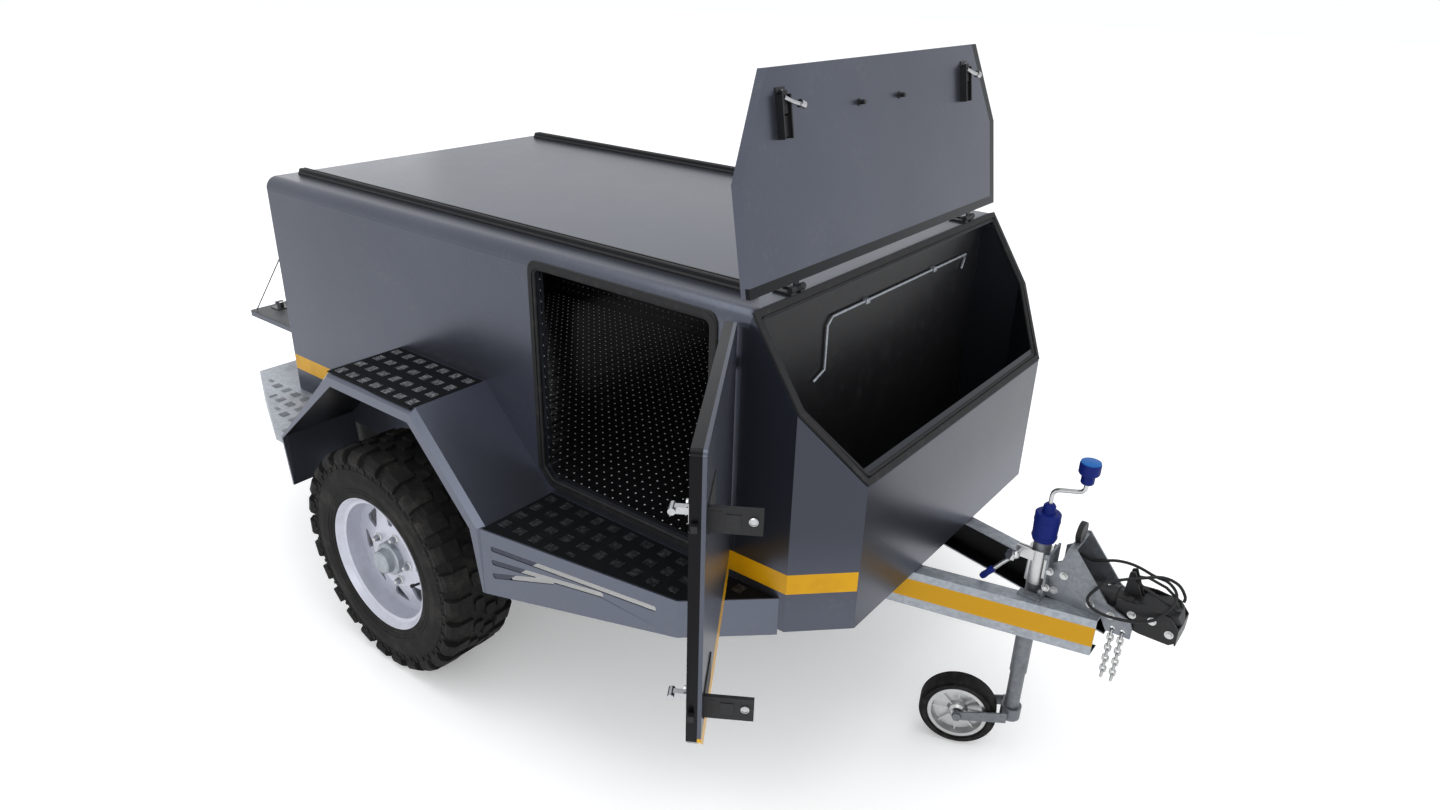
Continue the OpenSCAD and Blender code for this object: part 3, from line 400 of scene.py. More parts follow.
@once
def worn_highlit_tread(bright):
    """Chequer bars worn bright on top, where the light tops are partly wear and partly a painted highlight.
    """
    look = Look("worn_highlit_chequer_bars")
    wear = look.noise(90.0, 4.0, 0.7)
    # Partly painted highlight: with the wear noise the bars' tops go from dark to light.
    base = look.mix([bright * c for c in (0.20, 0.21, 0.22)], [bright * c for c in (0.9, 0.93, 0.96)],
                    wear.ramp(0.42, 0.70))
    return look.paint(base, 0.34 + wear * 0.2, metal=0.55, bump=wear, depth=0.0002)


@once
def galvanised(shade=1.0):
    """Hot-dip galvanised steel with its spangle."""
    look = Look("galvanised_steel")
    base, rough = spangled(look, shade)
    return look.paint(base, rough, metal=0.75, bump=look.noise(300.0, 3.0), depth=0.00008, specular=0.3)


def spangled(look, shade):
    """Colour and roughness of galvanised steel."""
    spangle = look.node("ShaderNodeTexVoronoi", {}, {"Vector": look.place, "Scale": 95.0}, "Color")
    grain = look.axes(spangle)[0]
    stain = look.noise(12.0, 6.0, 0.7)
    base = look.mix([c * shade for c in (0.29, 0.31, 0.34)], [c * shade for c in (0.38, 0.405, 0.44)], grain)
    base = look.mix(base, [c * shade for c in (0.19, 0.195, 0.20)], stain.ramp(0.5, 0.8) * 0.5)
    return base, 0.36 + grain * 0.10 + stain * 0.16


@once
def bright_zinc():
    """Bright zinc plating on small castings and bolts."""
    return worn("bright_zinc", (0.42, 0.43, 0.44), (0.62, 0.62, 0.61), (80.0, 4.0, 0.7), None, (0.22, 0.2),
                (600.0, 2.0), metal=1.0, depth=0.00008)


@once
def chrome():
    """Chromed steel with a little haze."""
    return worn("chromed_steel", (0.33, 0.34, 0.35), (0.50, 0.50, 0.51), (120.0, 3.0), None, (0.12, 0.14),
                metal=1.0)


@once
def rim_silver():
    """Silver wheel paint with road dust."""
    return worn("silver_wheel_paint", (0.50, 0.51, 0.58), (0.33, 0.32, 0.33), (16.0, 6.0, 0.7),
                (0.45, 0.85, 0.55), (0.3, 0.25), (300.0, 2.0), metal=0.45, coat=0.2, depth=0.0001)


@once
def tyre_rubber():
    """Dusty tyre rubber, browner where the dust has settled."""
    look = Look("dusty_tyre")
    dust = look.noise(14.0, 7.0, 0.72)
    fine = look.noise(180.0, 4.0, 0.7)
    base = look.mix((0.008, 0.0078, 0.0078), (0.055, 0.050, 0.044), dust.ramp(0.45, 0.80) * 0.5)
    return look.paint(base, 0.66 + fine * 0.25, bump=fine, depth=0.0005, specular=0.17)


@once
def grey_rubber():
    """Solid jockey tyre, dusty brown-grey."""
    return worn("solid_tyre", (0.006, 0.006, 0.006), (0.026, 0.025, 0.024), (30.0, 6.0, 0.7),
                (0.35, 0.75, 1.0), (0.7, 0.2), (260.0, 3.0), depth=0.0003, specular=0.15)


@once
def navy_plastic():
    """Navy plastic of the jockey wheel's housing."""
    navy = colours().navy
    return worn("navy_plastic", navy, [c * 1.6 + 0.01 for c in navy], (60.0, 5.0, 0.7), (0.55, 0.8, 0.4),
                (0.36, 0.2), (420.0, 2.0), depth=0.00008, specular=0.12)


@once
def sky_plastic():
    """Light blue cap of the crank's knob."""
    return worn("light_blue_plastic", (0.004, 0.075, 0.29), (0.012, 0.12, 0.38), (60.0, 5.0, 0.7), None,
                (0.32, 0.15), (420.0, 2.0), depth=0.00008, specular=0.15)


@once
def red_lens():
    """Ribbed red lamp lens."""
    look = Look("red_lens")
    rib = look.axes()[1].wrap(0.0, 0.006)
    base = look.mix((0.30, 0.003, 0.004), (0.40, 0.006, 0.006), look.noise(50.0))
    return look.paint(base, 0.2, coat=0.15, coat_rough=0.05, bump=rib * 100.0, depth=0.0008, specular=0.25)


@once
def rail_galvanised():
    """Galvanised drawbar with an amber tape along its outer face, and painted shade inside its channel."""
    look = Look("taped_drawbar")
    x, y, z = look.axes()
    base, rough = spangled(look, 1.0)
    low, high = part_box("drawbars")
    height = high.z - low.z
    front = at(*RAIL_FRONT, 0)
    reach = y.size() + (x - front.x) * RAIL_SLOPE
    face = reach > front.y - 0.002
    # Painted shade: the inner faces of the C-channel, between its flanges, are painted near black.
    channel = (z > low.z + 0.004) * (z < high.z - 0.004) * (reach < front.y - 0.003)
    base = look.mix(base, (0.012, 0.012, 0.013), channel)
    band = (z > low.z + 0.25 * height) * (z < low.z + 0.78 * height) * face
    scuff = look.noise(26.0, 6.0, 0.75)
    amber = look.mix([c * 0.84 for c in colours().band], (0.30, 0.19, 0.07), scuff.ramp(0.62, 0.85) * 0.6)
    base = look.mix(base, amber, band)
    return look.paint(base, rough, metal=0.75 - band * 0.75, bump=look.noise(300.0, 3.0), depth=0.00008,
                      specular=0.2)


# Mesh making
def mesh_object(name, bm, material, body, smooth=None):
    """Turns a bmesh into a piece that rides on a body, or on none yet."""
    bmesh.ops.recalc_face_normals(bm, faces=bm.faces)
    mesh = bpy.data.meshes.new(name)
    bm.to_mesh(mesh)
    bm.free()
    piece = bpy.data.objects.new(name, mesh)
    bpy.context.scene.collection.objects.link(piece)
    for one in material if isinstance(material, (list, tuple)) else [material]:
        mesh.materials.append(one)
    if smooth is not None:
        mesh.shade_smooth()
        edge = piece.modifiers.new("smooth_by_angle", "EDGE_SPLIT")
        edge.split_angle = math.radians(smooth)
    if body:
        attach(piece, body)
    return piece


def add_box(bm, low, high, matrix=None):
    """A box between two corners, placed by a matrix."""
    low, high = Vector(low), Vector(high)
    made = bmesh.ops.create_cube(bm, size=1.0)["verts"]
    for v in made:
        v.co = Vector(low[i] + (v.co[i] + 0.5) * (high[i] - low[i]) for i in range(3))
        if matrix:
            v.co = matrix @ v.co
    return made


def add_prism(bm, outline, depth, matrix):
    """An outline in X and Y, extruded along Z by depth and placed by a matrix."""
    rings = [[bm.verts.new(matrix @ Vector((x, y, z))) for x, y in outline] for z in (0, depth)]
    count = len(outline)
    bm.faces.new(rings[0][::-1])
    bm.faces.new(rings[1])
    for i in range(count):
        j = (i + 1) % count
        bm.faces.new((rings[0][i], rings[0][j], rings[1][j], rings[1][i]))


def ring_outline(radius, count, turn=0.0):
    return [(radius * math.cos(turn + math.tau * i / count), radius * math.sin(turn + math.tau * i / count))
            for i in range(count)]


def add_tube(bm, points, radius, sides=10, closed=False):
    """A round tube along points."""
    points = [Vector(p) for p in points]
    count = len(points)
    rings = []
    normal = None
    for i, point in enumerate(points):
        after = points[(i + 1) % count] if closed or i < count - 1 else point
        before = points[i - 1] if closed or i else point
        along = (after - before).normalized()
        if normal is None:
            normal = along.orthogonal().normalized()
        normal = (normal - along * normal.dot(along)).normalized()
        side = along.cross(normal)
        rings.append([bm.verts.new(point + radius * (math.cos(a) * normal + math.sin(a) * side))
                      for a in (math.tau * k / sides for k in range(sides))])
    for i in range(count if closed else count - 1):
        first, second = rings[i], rings[(i + 1) % count]
        for k in range(sides):
            m = (k + 1) % sides
            bm.faces.new((first[k], first[m], second[m], second[k]))
    if not closed:
        bm.faces.new(rings[0][::-1])
        bm.faces.new(rings[-1])


def facing(centre, out, up=(0, 0, 1)):
    """A matrix whose Z looks out from the centre, with its Y near up."""
    z = Vector(out).normalized()
    y = Vector(up)
    y = (y - z * y.dot(z)).normalized()
    x = y.cross(z)
    return Matrix.Translation(Vector(centre)) @ Matrix((x, y, z)).transposed().to_4x4()


def swing(joint, angle, axis):
    """Turns what is drawn closed about a joint's axis."""
    pin = hinge(joint)
    return Matrix.Translation(pin) @ Matrix.Rotation(angle, 4, axis) @ Matrix.Translation(-pin)


def door_swing():
    return swing("right_door_swing", DOOR_OPEN, "Z")


def lid_place():
    """The plane of the open lid's inner face: X from its hinge to its free edge, Z out of its outer face."""
    return swing("front_lid_swing", -LID_OPEN, "Y") @ slope_place() @ Matrix.Translation((0, 0, SEAL_GAP))


def slope_place():
    """The plane of the nose opening: X down the slope, Z out of it."""
    return Matrix.Translation(at(ROOF_END, 0, SLOPE_TOP)) @ Matrix.Rotation(SLOPE, 4, "Y")


def rounded(points, radius, steps=5):
    """A closed path with its corners rounded."""
    path = []
    for i, point in enumerate(points):
        before, after = points[i - 1] - point, points[(i + 1) % len(points)] - point
        reach = min(radius / math.tan(before.angle(after) / 2), 0.45 * min(before.length, after.length))
        start, end = point + before.normalized() * reach, point + after.normalized() * reach
        path += [start * (1 - t) ** 2 + point * (2 * t * (1 - t)) + end * t ** 2
                 for t in (k / steps for k in range(steps + 1))]
    return path


def add_turned(bm, profile, matrix, sides=32):
    """Turns a profile of radius and height about Z, placed by a matrix. Radius 0 closes an end."""
    rings = []
    for radius, height in profile:
        count = sides if radius else 1
        rings.append([bm.verts.new(matrix @ Vector((radius * math.cos(math.tau * k / count),
                                                    radius * math.sin(math.tau * k / count), height)))
                      for k in range(count)])
    for first, second in zip(rings, rings[1:]):
        for k in range(sides):
            m = (k + 1) % sides
            corners = [ring[i % len(ring)] for ring, i in ((first, k), (first, m), (second, m), (second, k))]
            bm.faces.new(list(dict.fromkeys(corners)))


def add_bolt(bm, centre, out, radius=0.009, height=0.006, washer=True):
    """A hexagon head on a washer."""
    place = facing(centre, out)
    if washer:
        wide = radius * 1.5
        add_turned(bm, [(0, -0.0005), (wide, -0.0005), (wide, 0.0016), (0, 0.0016)], place, 20)
    add_prism(bm, ring_outline(radius, 6), height, place @ Matrix.Translation((0, 0, 0.0015)))


def dress(node, material, bevel=None):
    """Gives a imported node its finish, and small rounded edges where it is a plate."""
    item = NODES[node]
    item.data.materials.clear()
    item.data.materials.append(material)
    if bevel:
        weld = item.modifiers.new("weld", "WELD")
        weld.merge_threshold = 0.00002
        edge = item.modifiers.new("edge", "BEVEL")
        edge.width = bevel
        edge.segments = 2
        edge.limit_method = "ANGLE"
        edge.angle_limit = math.radians(40)
        edge.harden_normals = False


class TrailerColours(bpy.types.PropertyGroup):
    """Paint colours of the trailer."""

    paint: bpy.props.FloatVectorProperty(
        name="Body paint", description="Charcoal paint of the body", subtype="COLOR",
        default=(0.079, 0.086, 0.110), min=0, max=1)
    band: bpy.props.FloatVectorProperty(
        name="Band", description="Amber band on the sides and the drawbar", subtype="COLOR",
        default=(0.58, 0.30, 0.004), min=0, max=1)
    navy: bpy.props.FloatVectorProperty(
        name="Jockey housing", description="Navy plastic of the jockey wheel", subtype="COLOR",
        default=(0.004, 0.012, 0.125), min=0, max=1)
    floor: bpy.props.FloatVectorProperty(
        name="Studio floor", description="Colour of the floor", subtype="COLOR",
        default=(0.90, 0.90, 0.90), min=0, max=1)


class TrailerSizes(bpy.types.PropertyGroup):
    """Sizes of the small details."""

    bar_length: bpy.props.FloatProperty(
        name="Tread bar", description="Length of one bar of the tread plates", unit="LENGTH",
        default=0.029, min=0.01, max=0.05)
    bar_width: bpy.props.FloatProperty(
        name="Bar width", description="Width of one bar of the tread plates", unit="LENGTH",
        default=0.0042, min=0.002, max=0.01)
    seal_radius: bpy.props.FloatProperty(
        name="Seal bead", description="Radius of the bead of a door seal", unit="LENGTH",
        default=0.0058, min=0.002, max=0.01)
    bolt_radius: bpy.props.FloatProperty(
        name="Bolt head", description="Radius of a bolt head across its corners", unit="LENGTH",
        default=0.0085, min=0.004, max=0.02)


class TrailerStage(bpy.types.PropertyGroup):
    """Camera and studio."""

    lens: bpy.props.FloatProperty(
        name="Lens", description="Focal length on a 36 mm sensor", subtype="DISTANCE_CAMERA",
        default=24.28, min=10, max=200)
    yaw: bpy.props.FloatProperty(
        name="Yaw", description="How far the camera turns left of +Y", subtype="ANGLE", default=0.6504)
    pitch: bpy.props.FloatProperty(
        name="Pitch", description="How far the camera looks up", subtype="ANGLE", default=-0.4332)
    roll: bpy.props.FloatProperty(
        name="Roll", description="How far the camera leans", subtype="ANGLE", default=0.0284)
    glow: bpy.props.FloatProperty(
        name="Floor glow", description="Light that the floor gives off by itself", default=0.22, min=0, max=2)
    stand: bpy.props.FloatVectorProperty(
        name="Camera place", description="Where the camera stands, from the axle line and the road",
        subtype="TRANSLATION", default=(2.3727, -2.3443, 2.1326))


class TRAILER_OT_stage(bpy.types.Operator):
    """Makes the camera, the floor and the soft studio light"""

    bl_idname = "trailer.stage"
    bl_label = "Studio"

    def execute(self, context):
        self.camera(context)
        self.floor(context)
        self.lights(context)
        return {"FINISHED"}

    @staticmethod
    def camera(context):
        given = context.scene.trailer_stage
        ahead = Vector((-math.sin(given.yaw) * math.cos(given.pitch),
                        math.cos(given.yaw) * math.cos(given.pitch), math.sin(given.pitch)))
        right = ahead.cross(Vector((0, 0, 1))).normalized()
        up = right.cross(ahead)
        leaned = right * math.cos(given.roll) + up * math.sin(given.roll)
        upright = up * math.cos(given.roll) - right * math.sin(given.roll)
        data = bpy.data.cameras.new("photo_camera")
        data.sensor_width = 36
        data.lens = given.lens
        data.clip_end = 200
        camera = bpy.data.objects.new("photo_camera", data)
        turn = Matrix((leaned, upright, -ahead)).transposed().to_4x4()
        camera.matrix_world = Matrix.Translation(at(*given.stand)) @ turn
        context.scene.collection.objects.link(camera)
        context.scene.camera = camera

    @staticmethod
    def floor(context):
        bm = bmesh.new()
        bmesh.ops.create_circle(bm, cap_ends=True, radius=40, segments=96)
        mesh = bpy.data.meshes.new("studio_floor")
        bm.to_mesh(mesh)
        bm.free()
        ground = bpy.data.objects.new("studio_floor", mesh)
        ground.location = (AXLE_X, 0, ROAD_Z)
        context.scene.collection.objects.link(ground)
        look = Look("studio_floor")
        tone = colours().floor
        haze = look.noise(1.5, 3.0)
        look.plug("Emission Color", (1, 1, 1, 1))
        look.plug("Emission Strength", context.scene.trailer_stage.glow)
        mesh.materials.append(look.paint(look.mix(tone, [c * 0.985 for c in tone], haze), 0.75, specular=0.2))

    @staticmethod
    def lights(context):
        world = bpy.data.worlds.new("studio")
        context.scene.world = world
        world.use_nodes = True
        back = world.node_tree.nodes["Background"]
        back.inputs["Color"].default_value = (0.97, 0.985, 1.0, 1)
        back.inputs["Strength"].default_value = 1.02
        context.scene.view_settings.view_transform = "Standard"
        middle = at(0.5, 0, 0.7)
        table = (
            # name, place from the axle line and road, size, watts
            ("top_softbox", (0.6, -0.6, 4.8), (4.6, 3.2), 80),
            ("key_softbox", (2.6, -4.6, 2.8), (2.8, 2.0), 35),
            ("rear_softbox", (-4.6, 1.2, 1.2), (2.6, 1.4), 30),
        )
        for name, place, size, watts in table:
            data = bpy.data.lights.new(name, "AREA")
            data.shape = "RECTANGLE"
            data.size, data.size_y = size
            data.energy = watts
            lamp = bpy.data.objects.new(name, data)
            lamp.location = at(*place)
            lamp.rotation_mode = "QUATERNION"
            lamp.rotation_quaternion = (middle - lamp.location).to_track_quat("-Z", "Y")
            context.scene.collection.objects.link(lamp)


class TRAILER_OT_finishes(bpy.types.Operator):
    """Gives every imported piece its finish"""

    bl_idname = "trailer.finishes"
    bl_label = "Finishes"

    def execute(self, context):
        table = (
            # nodes, finish, bevel of their edges in metres
            (("side_right", "side_left"), body_paint("side"), 0.0012),
            (("roof",), body_paint("none"), None),
            (("rear_frame",), body_paint("none"), 0.0015),
            (("nose_lid",), body_paint("lid"), 0.0015),
            (("tailgate",), body_paint("gate"), 0.0015),
            (("nose",), body_paint("nose"), 0.0015),
            (("door_left",), body_paint("door"), 0.0022),
            (("door_right",), body_paint("open_door"), 0.0022),
            (("cover_right", "cover_left", "step_right", "step_left"), body_paint("cover"), 0.0012),
            (("floor",), black_liner(True), None),
            (("bulkhead",), satin_black(0.32), 0.001),
            (("door_seals", "nose_seal", "brake_cable"), rubber(), None),
            (("roof_rails", "lid_hinges", "door_hinges", "gate_hinges", "bumper_caps"), satin_black(), None),
            (("rear_bumper", "rear_steps", "chassis_rails", "cross_members"), galvanised(), None),
            (("coupling_base", "jack_bracket"), galvanised(0.62), None),
            (("jack_tube", "jack_leg", "jack_fork"), galvanised(0.5), None),
            (("jack_clamp", "jack_crank", "jack_rim", "safety_chain"), bright_zinc(), None),
            (("drawbars",), rail_galvanised(), None),
            (("tail_lamps",), red_lens(), None),
            (("axle", "leaf_springs", "coupling_tube", "coupling_head", "coupling_lever",
              "door_latches_right", "door_latches_left", "lid_latches", "gate_latches"), satin_black(), None),
            (("jack_housing", "jack_knob"), navy_plastic(), None),
            (("jack_tyre",), grey_rubber(), None),
            (("tyre_right", "tyre_left"), tyre_rubber(), None),
            (("rim_right", "rim_left"), rim_silver(), None),
            (("hub_right", "hub_left"), galvanised(), None),
        )
        done = set()
        for names, material, bevel in table:
            for name in names:
                if name in NODES:
                    dress(name, material, bevel)
                    done.add(name)
        left = sorted(set(NODES) - done)
        if left:
            raise RuntimeError(f"no finish for {left}")
        return {"FINISHED"}


class TRAILER_OT_lining(bpy.types.Operator):
    """Lines the cabin with thin black sheets, their studs painted as glints"""

    bl_idname = "trailer.lining"
    bl_label = "Lining"

    def execute(self, context):
        skin = 0.0015
        inner = BODY_HALF - WALL
        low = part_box("floor")[1].z
        high = SIDE_HIGH.z - 0.012
        rear = SIDE_LOW.x + WALL
        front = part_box("bulkhead")[0].x
        door = self.opening()
        for name, side in SIDES:
            bm = bmesh.new()
            place = facing((0, side * inner, 0), (0, -side, 0))
            # The sheet stops short of the doorway on every side
            for a, b, c, d in ((rear, low, door[0], high), (door[1], low, front, high),
                               (door[0], low, door[1], door[2]), (door[0], door[3], door[1], high)):
                ends = sorted((place.inverted() @ Vector((x, 0, z)))[0] for x, z in ((a, b), (c, d)))
                add_box(bm, (ends[0], b, 0), (ends[1], d, skin), place)
            mesh_object("lining_" + name, bm, black_liner(), "root")
        return {"FINISHED"}

    @staticmethod
    def opening():
        """Edges of the doorway, from the closed left door: its two X and its two Z."""
        lap = 0.030
        return (DOOR_LOW.x + lap, DOOR_LOW.x + DOOR_LENGTH - lap, DOOR_LOW.z + lap, DOOR_HIGH.z - lap)


class TRAILER_OT_treads(bpy.types.Operator):
    """Lays black chequer sheet on the wheel covers and the steps"""

    bl_idname = "trailer.treads"
    bl_label = "Tread plates"

    def execute(self, context):
        given = context.scene.trailer_sizes
        for name, side in SIDES:
            self.cover_plate(name, side, given)
            self.step_plate(name, side, given)
            self.rear_step(name, side, given)
        return {"FINISHED"}

    @staticmethod
    def lozenge(length, width):
        """Eight corners of a long bar with cut ends."""
        a, b = length / 2, width / 2
        return [(a, -b * 0.45), (a, b * 0.45), (a * 0.6, b), (-a * 0.6, b), (-a, b * 0.45), (-a, -b * 0.45),
                (-a * 0.6, -b), (a * 0.6, -b)]

    def groups(self, bm, start, columns, rows, pitch, top, given, keep):
        """Groups of five bars, each turned a quarter from the next, wherever keep allows a bar."""
        bar = self.lozenge(given.bar_length, given.bar_width)
        for i in range(columns):
            for j in range(rows):
                centre = Vector((start[0] + i * pitch[0], start[1] + j * pitch[1], top))
                turned = (i + j) % 2
                for k in range(-2, 3):
                    shift = k * given.bar_length / 4.2
                    spot = centre + Vector((0, shift, 0) if turned else (shift, 0, 0))
                    if keep(spot):
                        turn = Matrix.Rotation(0 if turned else math.pi / 2, 4, "Z")
                        add_prism(bm, bar, 0.0016, Matrix.Translation(spot) @ turn)

    def cover_plate(self, name, side, given):
        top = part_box("cover_" + name)[1].z
        inner, outer = BODY_HALF + STEP_LAP, abs(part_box("cover_right")[0].y) - STEP_LAP
        x0, x1 = AXLE_X - 0.2, AXLE_X + 0.206
        sheet = 0.0015
        bm = bmesh.new()
        low_y, high_y = sorted((side * inner, side * outer))
        add_box(bm, (x0, low_y, top), (x1, high_y, top + sheet))
        mesh_object("cover_sheet_" + name, bm, tread_sheet(), "root")
        bm = bmesh.new()
        step = ((x1 - x0) / 7, side * (outer - inner) / 4)
        self.groups(bm, (x0 + step[0] / 2, side * inner + step[1] / 2), 7, 4, step, top + sheet, given,
                    lambda spot: True)
        mesh_object("cover_bars_" + name, bm, worn_highlit_tread(0.5), "root")

    def step_plate(self, name, side, given):
        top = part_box("step_" + name)[1].z
        plan = self.step_plan(side)
        bm = bmesh.new()
        add_prism(bm, plan, 0.0015, Matrix.Translation((0, 0, top)))
        mesh_object("step_sheet_" + name, bm, tread_sheet(), "root")
        bm = bmesh.new()
        low_x, high_x = min(p[0] for p in plan), max(p[0] for p in plan)
        self.groups(bm, (low_x + 0.03, side * (BODY_HALF + 0.034)), int((high_x - low_x) / 0.062), 5,
                    (0.062, side * 0.058), top + 0.0015, given, self.inside)
        mesh_object("step_bars_" + name, bm, worn_highlit_tread(0.12), "root")

    def rear_step(self, name, side, given):
        low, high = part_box("rear_steps")
        inner = BODY_HALF + 0.014

        def keep(spot):
            edge = inner + (high.y - inner) * min((spot.x - low.x) / 0.552, 1)
            return inner + 0.012 < abs(spot.y) < edge - 0.024 and low.x + 0.03 < spot.x < high.x - 0.03
        bm = bmesh.new()
        start = (high.x - 0.05, side * (inner + 0.03))
        self.groups(bm, start, 9, 5, (-0.062, side * 0.058), high.z, given, keep)
        # Painted shade: the bars use a darker copy of the galvanised finish, so that they read as dark
        # dashes.
        mesh_object("rear_step_bars_" + name, bm, galvanised(0.62), "root")

    @staticmethod
    def corners():
        """The step's plan as drawn, a little inside its edge: X and half width."""
        inner = BODY_HALF + STEP_LAP
        return [(0.4825, inner), (0.4825, 0.923), (1.106, 0.828), (1.285, inner)]

    def step_plan(self, side):
        return [(AXLE_X + x, side * y) for x, y in self.corners()]

    def inside(self, spot):
        """Whether a bar at that spot keeps clear of the step's edges."""
        x, y = spot.x - AXLE_X, abs(spot.y)
        margin = 0.016
        (x0, y0), (_, y1), (x2, y2), (x3, y3) = self.corners()
        if x < x0 + margin or x > x3 - margin or y < y0 - STEP_LAP + margin:
            return False
        edge = y1 + (y2 - y1) * (x - x0) / (x2 - x0) if x < x2 else y2 + (y3 - y2) * (x - x2) / (x3 - x2)
        return y < edge - margin


class TRAILER_OT_seals(bpy.types.Operator):
    """Runs rubber beads round the openings"""

    bl_idname = "trailer.seals"
    bl_label = "Seals"

    def execute(self, context):
        bead = context.scene.trailer_sizes.seal_radius
        bm = bmesh.new()
        for _, side in SIDES:
            for inset, sunk, radius in ((0.004, 0.0005, bead * 0.8), (0.0205, -0.002, bead)):
                path = rounded(self.door_corners(inset, side * (BODY_HALF + sunk)), 0.034 - inset * 0.4)
                add_tube(bm, path, radius, 10, closed=True)
        rear = SIDE_LOW.x
        for inset, sunk, radius in ((0.007, -0.0005, bead * 0.8), (0.0205, 0.002, bead)):
            low, high = ROAD_Z + GATE_LOW + inset, ROAD_Z + GATE_HIGH - inset
            corners = [Vector((rear + sunk, side * (GATE_HALF - inset), z))
                       for side, z in ((-1, low), (1, low), (1, high), (-1, high))]
            add_tube(bm, rounded(corners, 0.012), radius, 10, closed=True)
        place = slope_place()
        for inset, sunk, radius in ((0.007, 0.0005, bead * 0.8), (0.024, -0.002, bead)):
            corners = [place @ Vector((u, v, sunk)) for u, v in self.nose_corners(inset)]
            add_tube(bm, rounded(corners, 0.02), radius, 10, closed=True)
        mesh_object("seal_beads", bm, rubber(), "root", smooth=50)
        return {"FINISHED"}

    @staticmethod
    def door_corners(inset, y):
        """Corners of the doorway a little inside the door's edge, with one cut beside the wheel cover."""
        step_low, step_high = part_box("step_right")
        rise = (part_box("cover_right")[1].z - step_high.z) / (step_low.x - AXLE_X - 0.213)
        gap = (0.012 + inset) * math.hypot(1, rise)
        x0, x1 = DOOR_LOW.x + inset, DOOR_LOW.x + DOOR_LENGTH - inset
        z0, z1 = DOOR_LOW.z + inset, DOOR_HIGH.z - inset
        cut_z = step_high.z + (step_low.x - x0) * rise + gap
        cut_x = step_low.x - (z0 - step_high.z - gap) / rise
        return [Vector((x, y, z)) for x, z in ((x0, cut_z), (cut_x, z0), (x1, z0), (x1, z1), (x0, z1))]

    @staticmethod
    def nose_corners(inset):
        """Corners of the nose opening in its own plane."""
        kink = KINK_DOWN - inset * 0.25
        half, tip, end = BODY_HALF - inset, TIP_HALF - inset * 0.77, SLOPE_LENGTH - inset
        return [(inset, -half), (kink, -half), (end, -tip), (end, tip), (kink, half), (inset, half)]


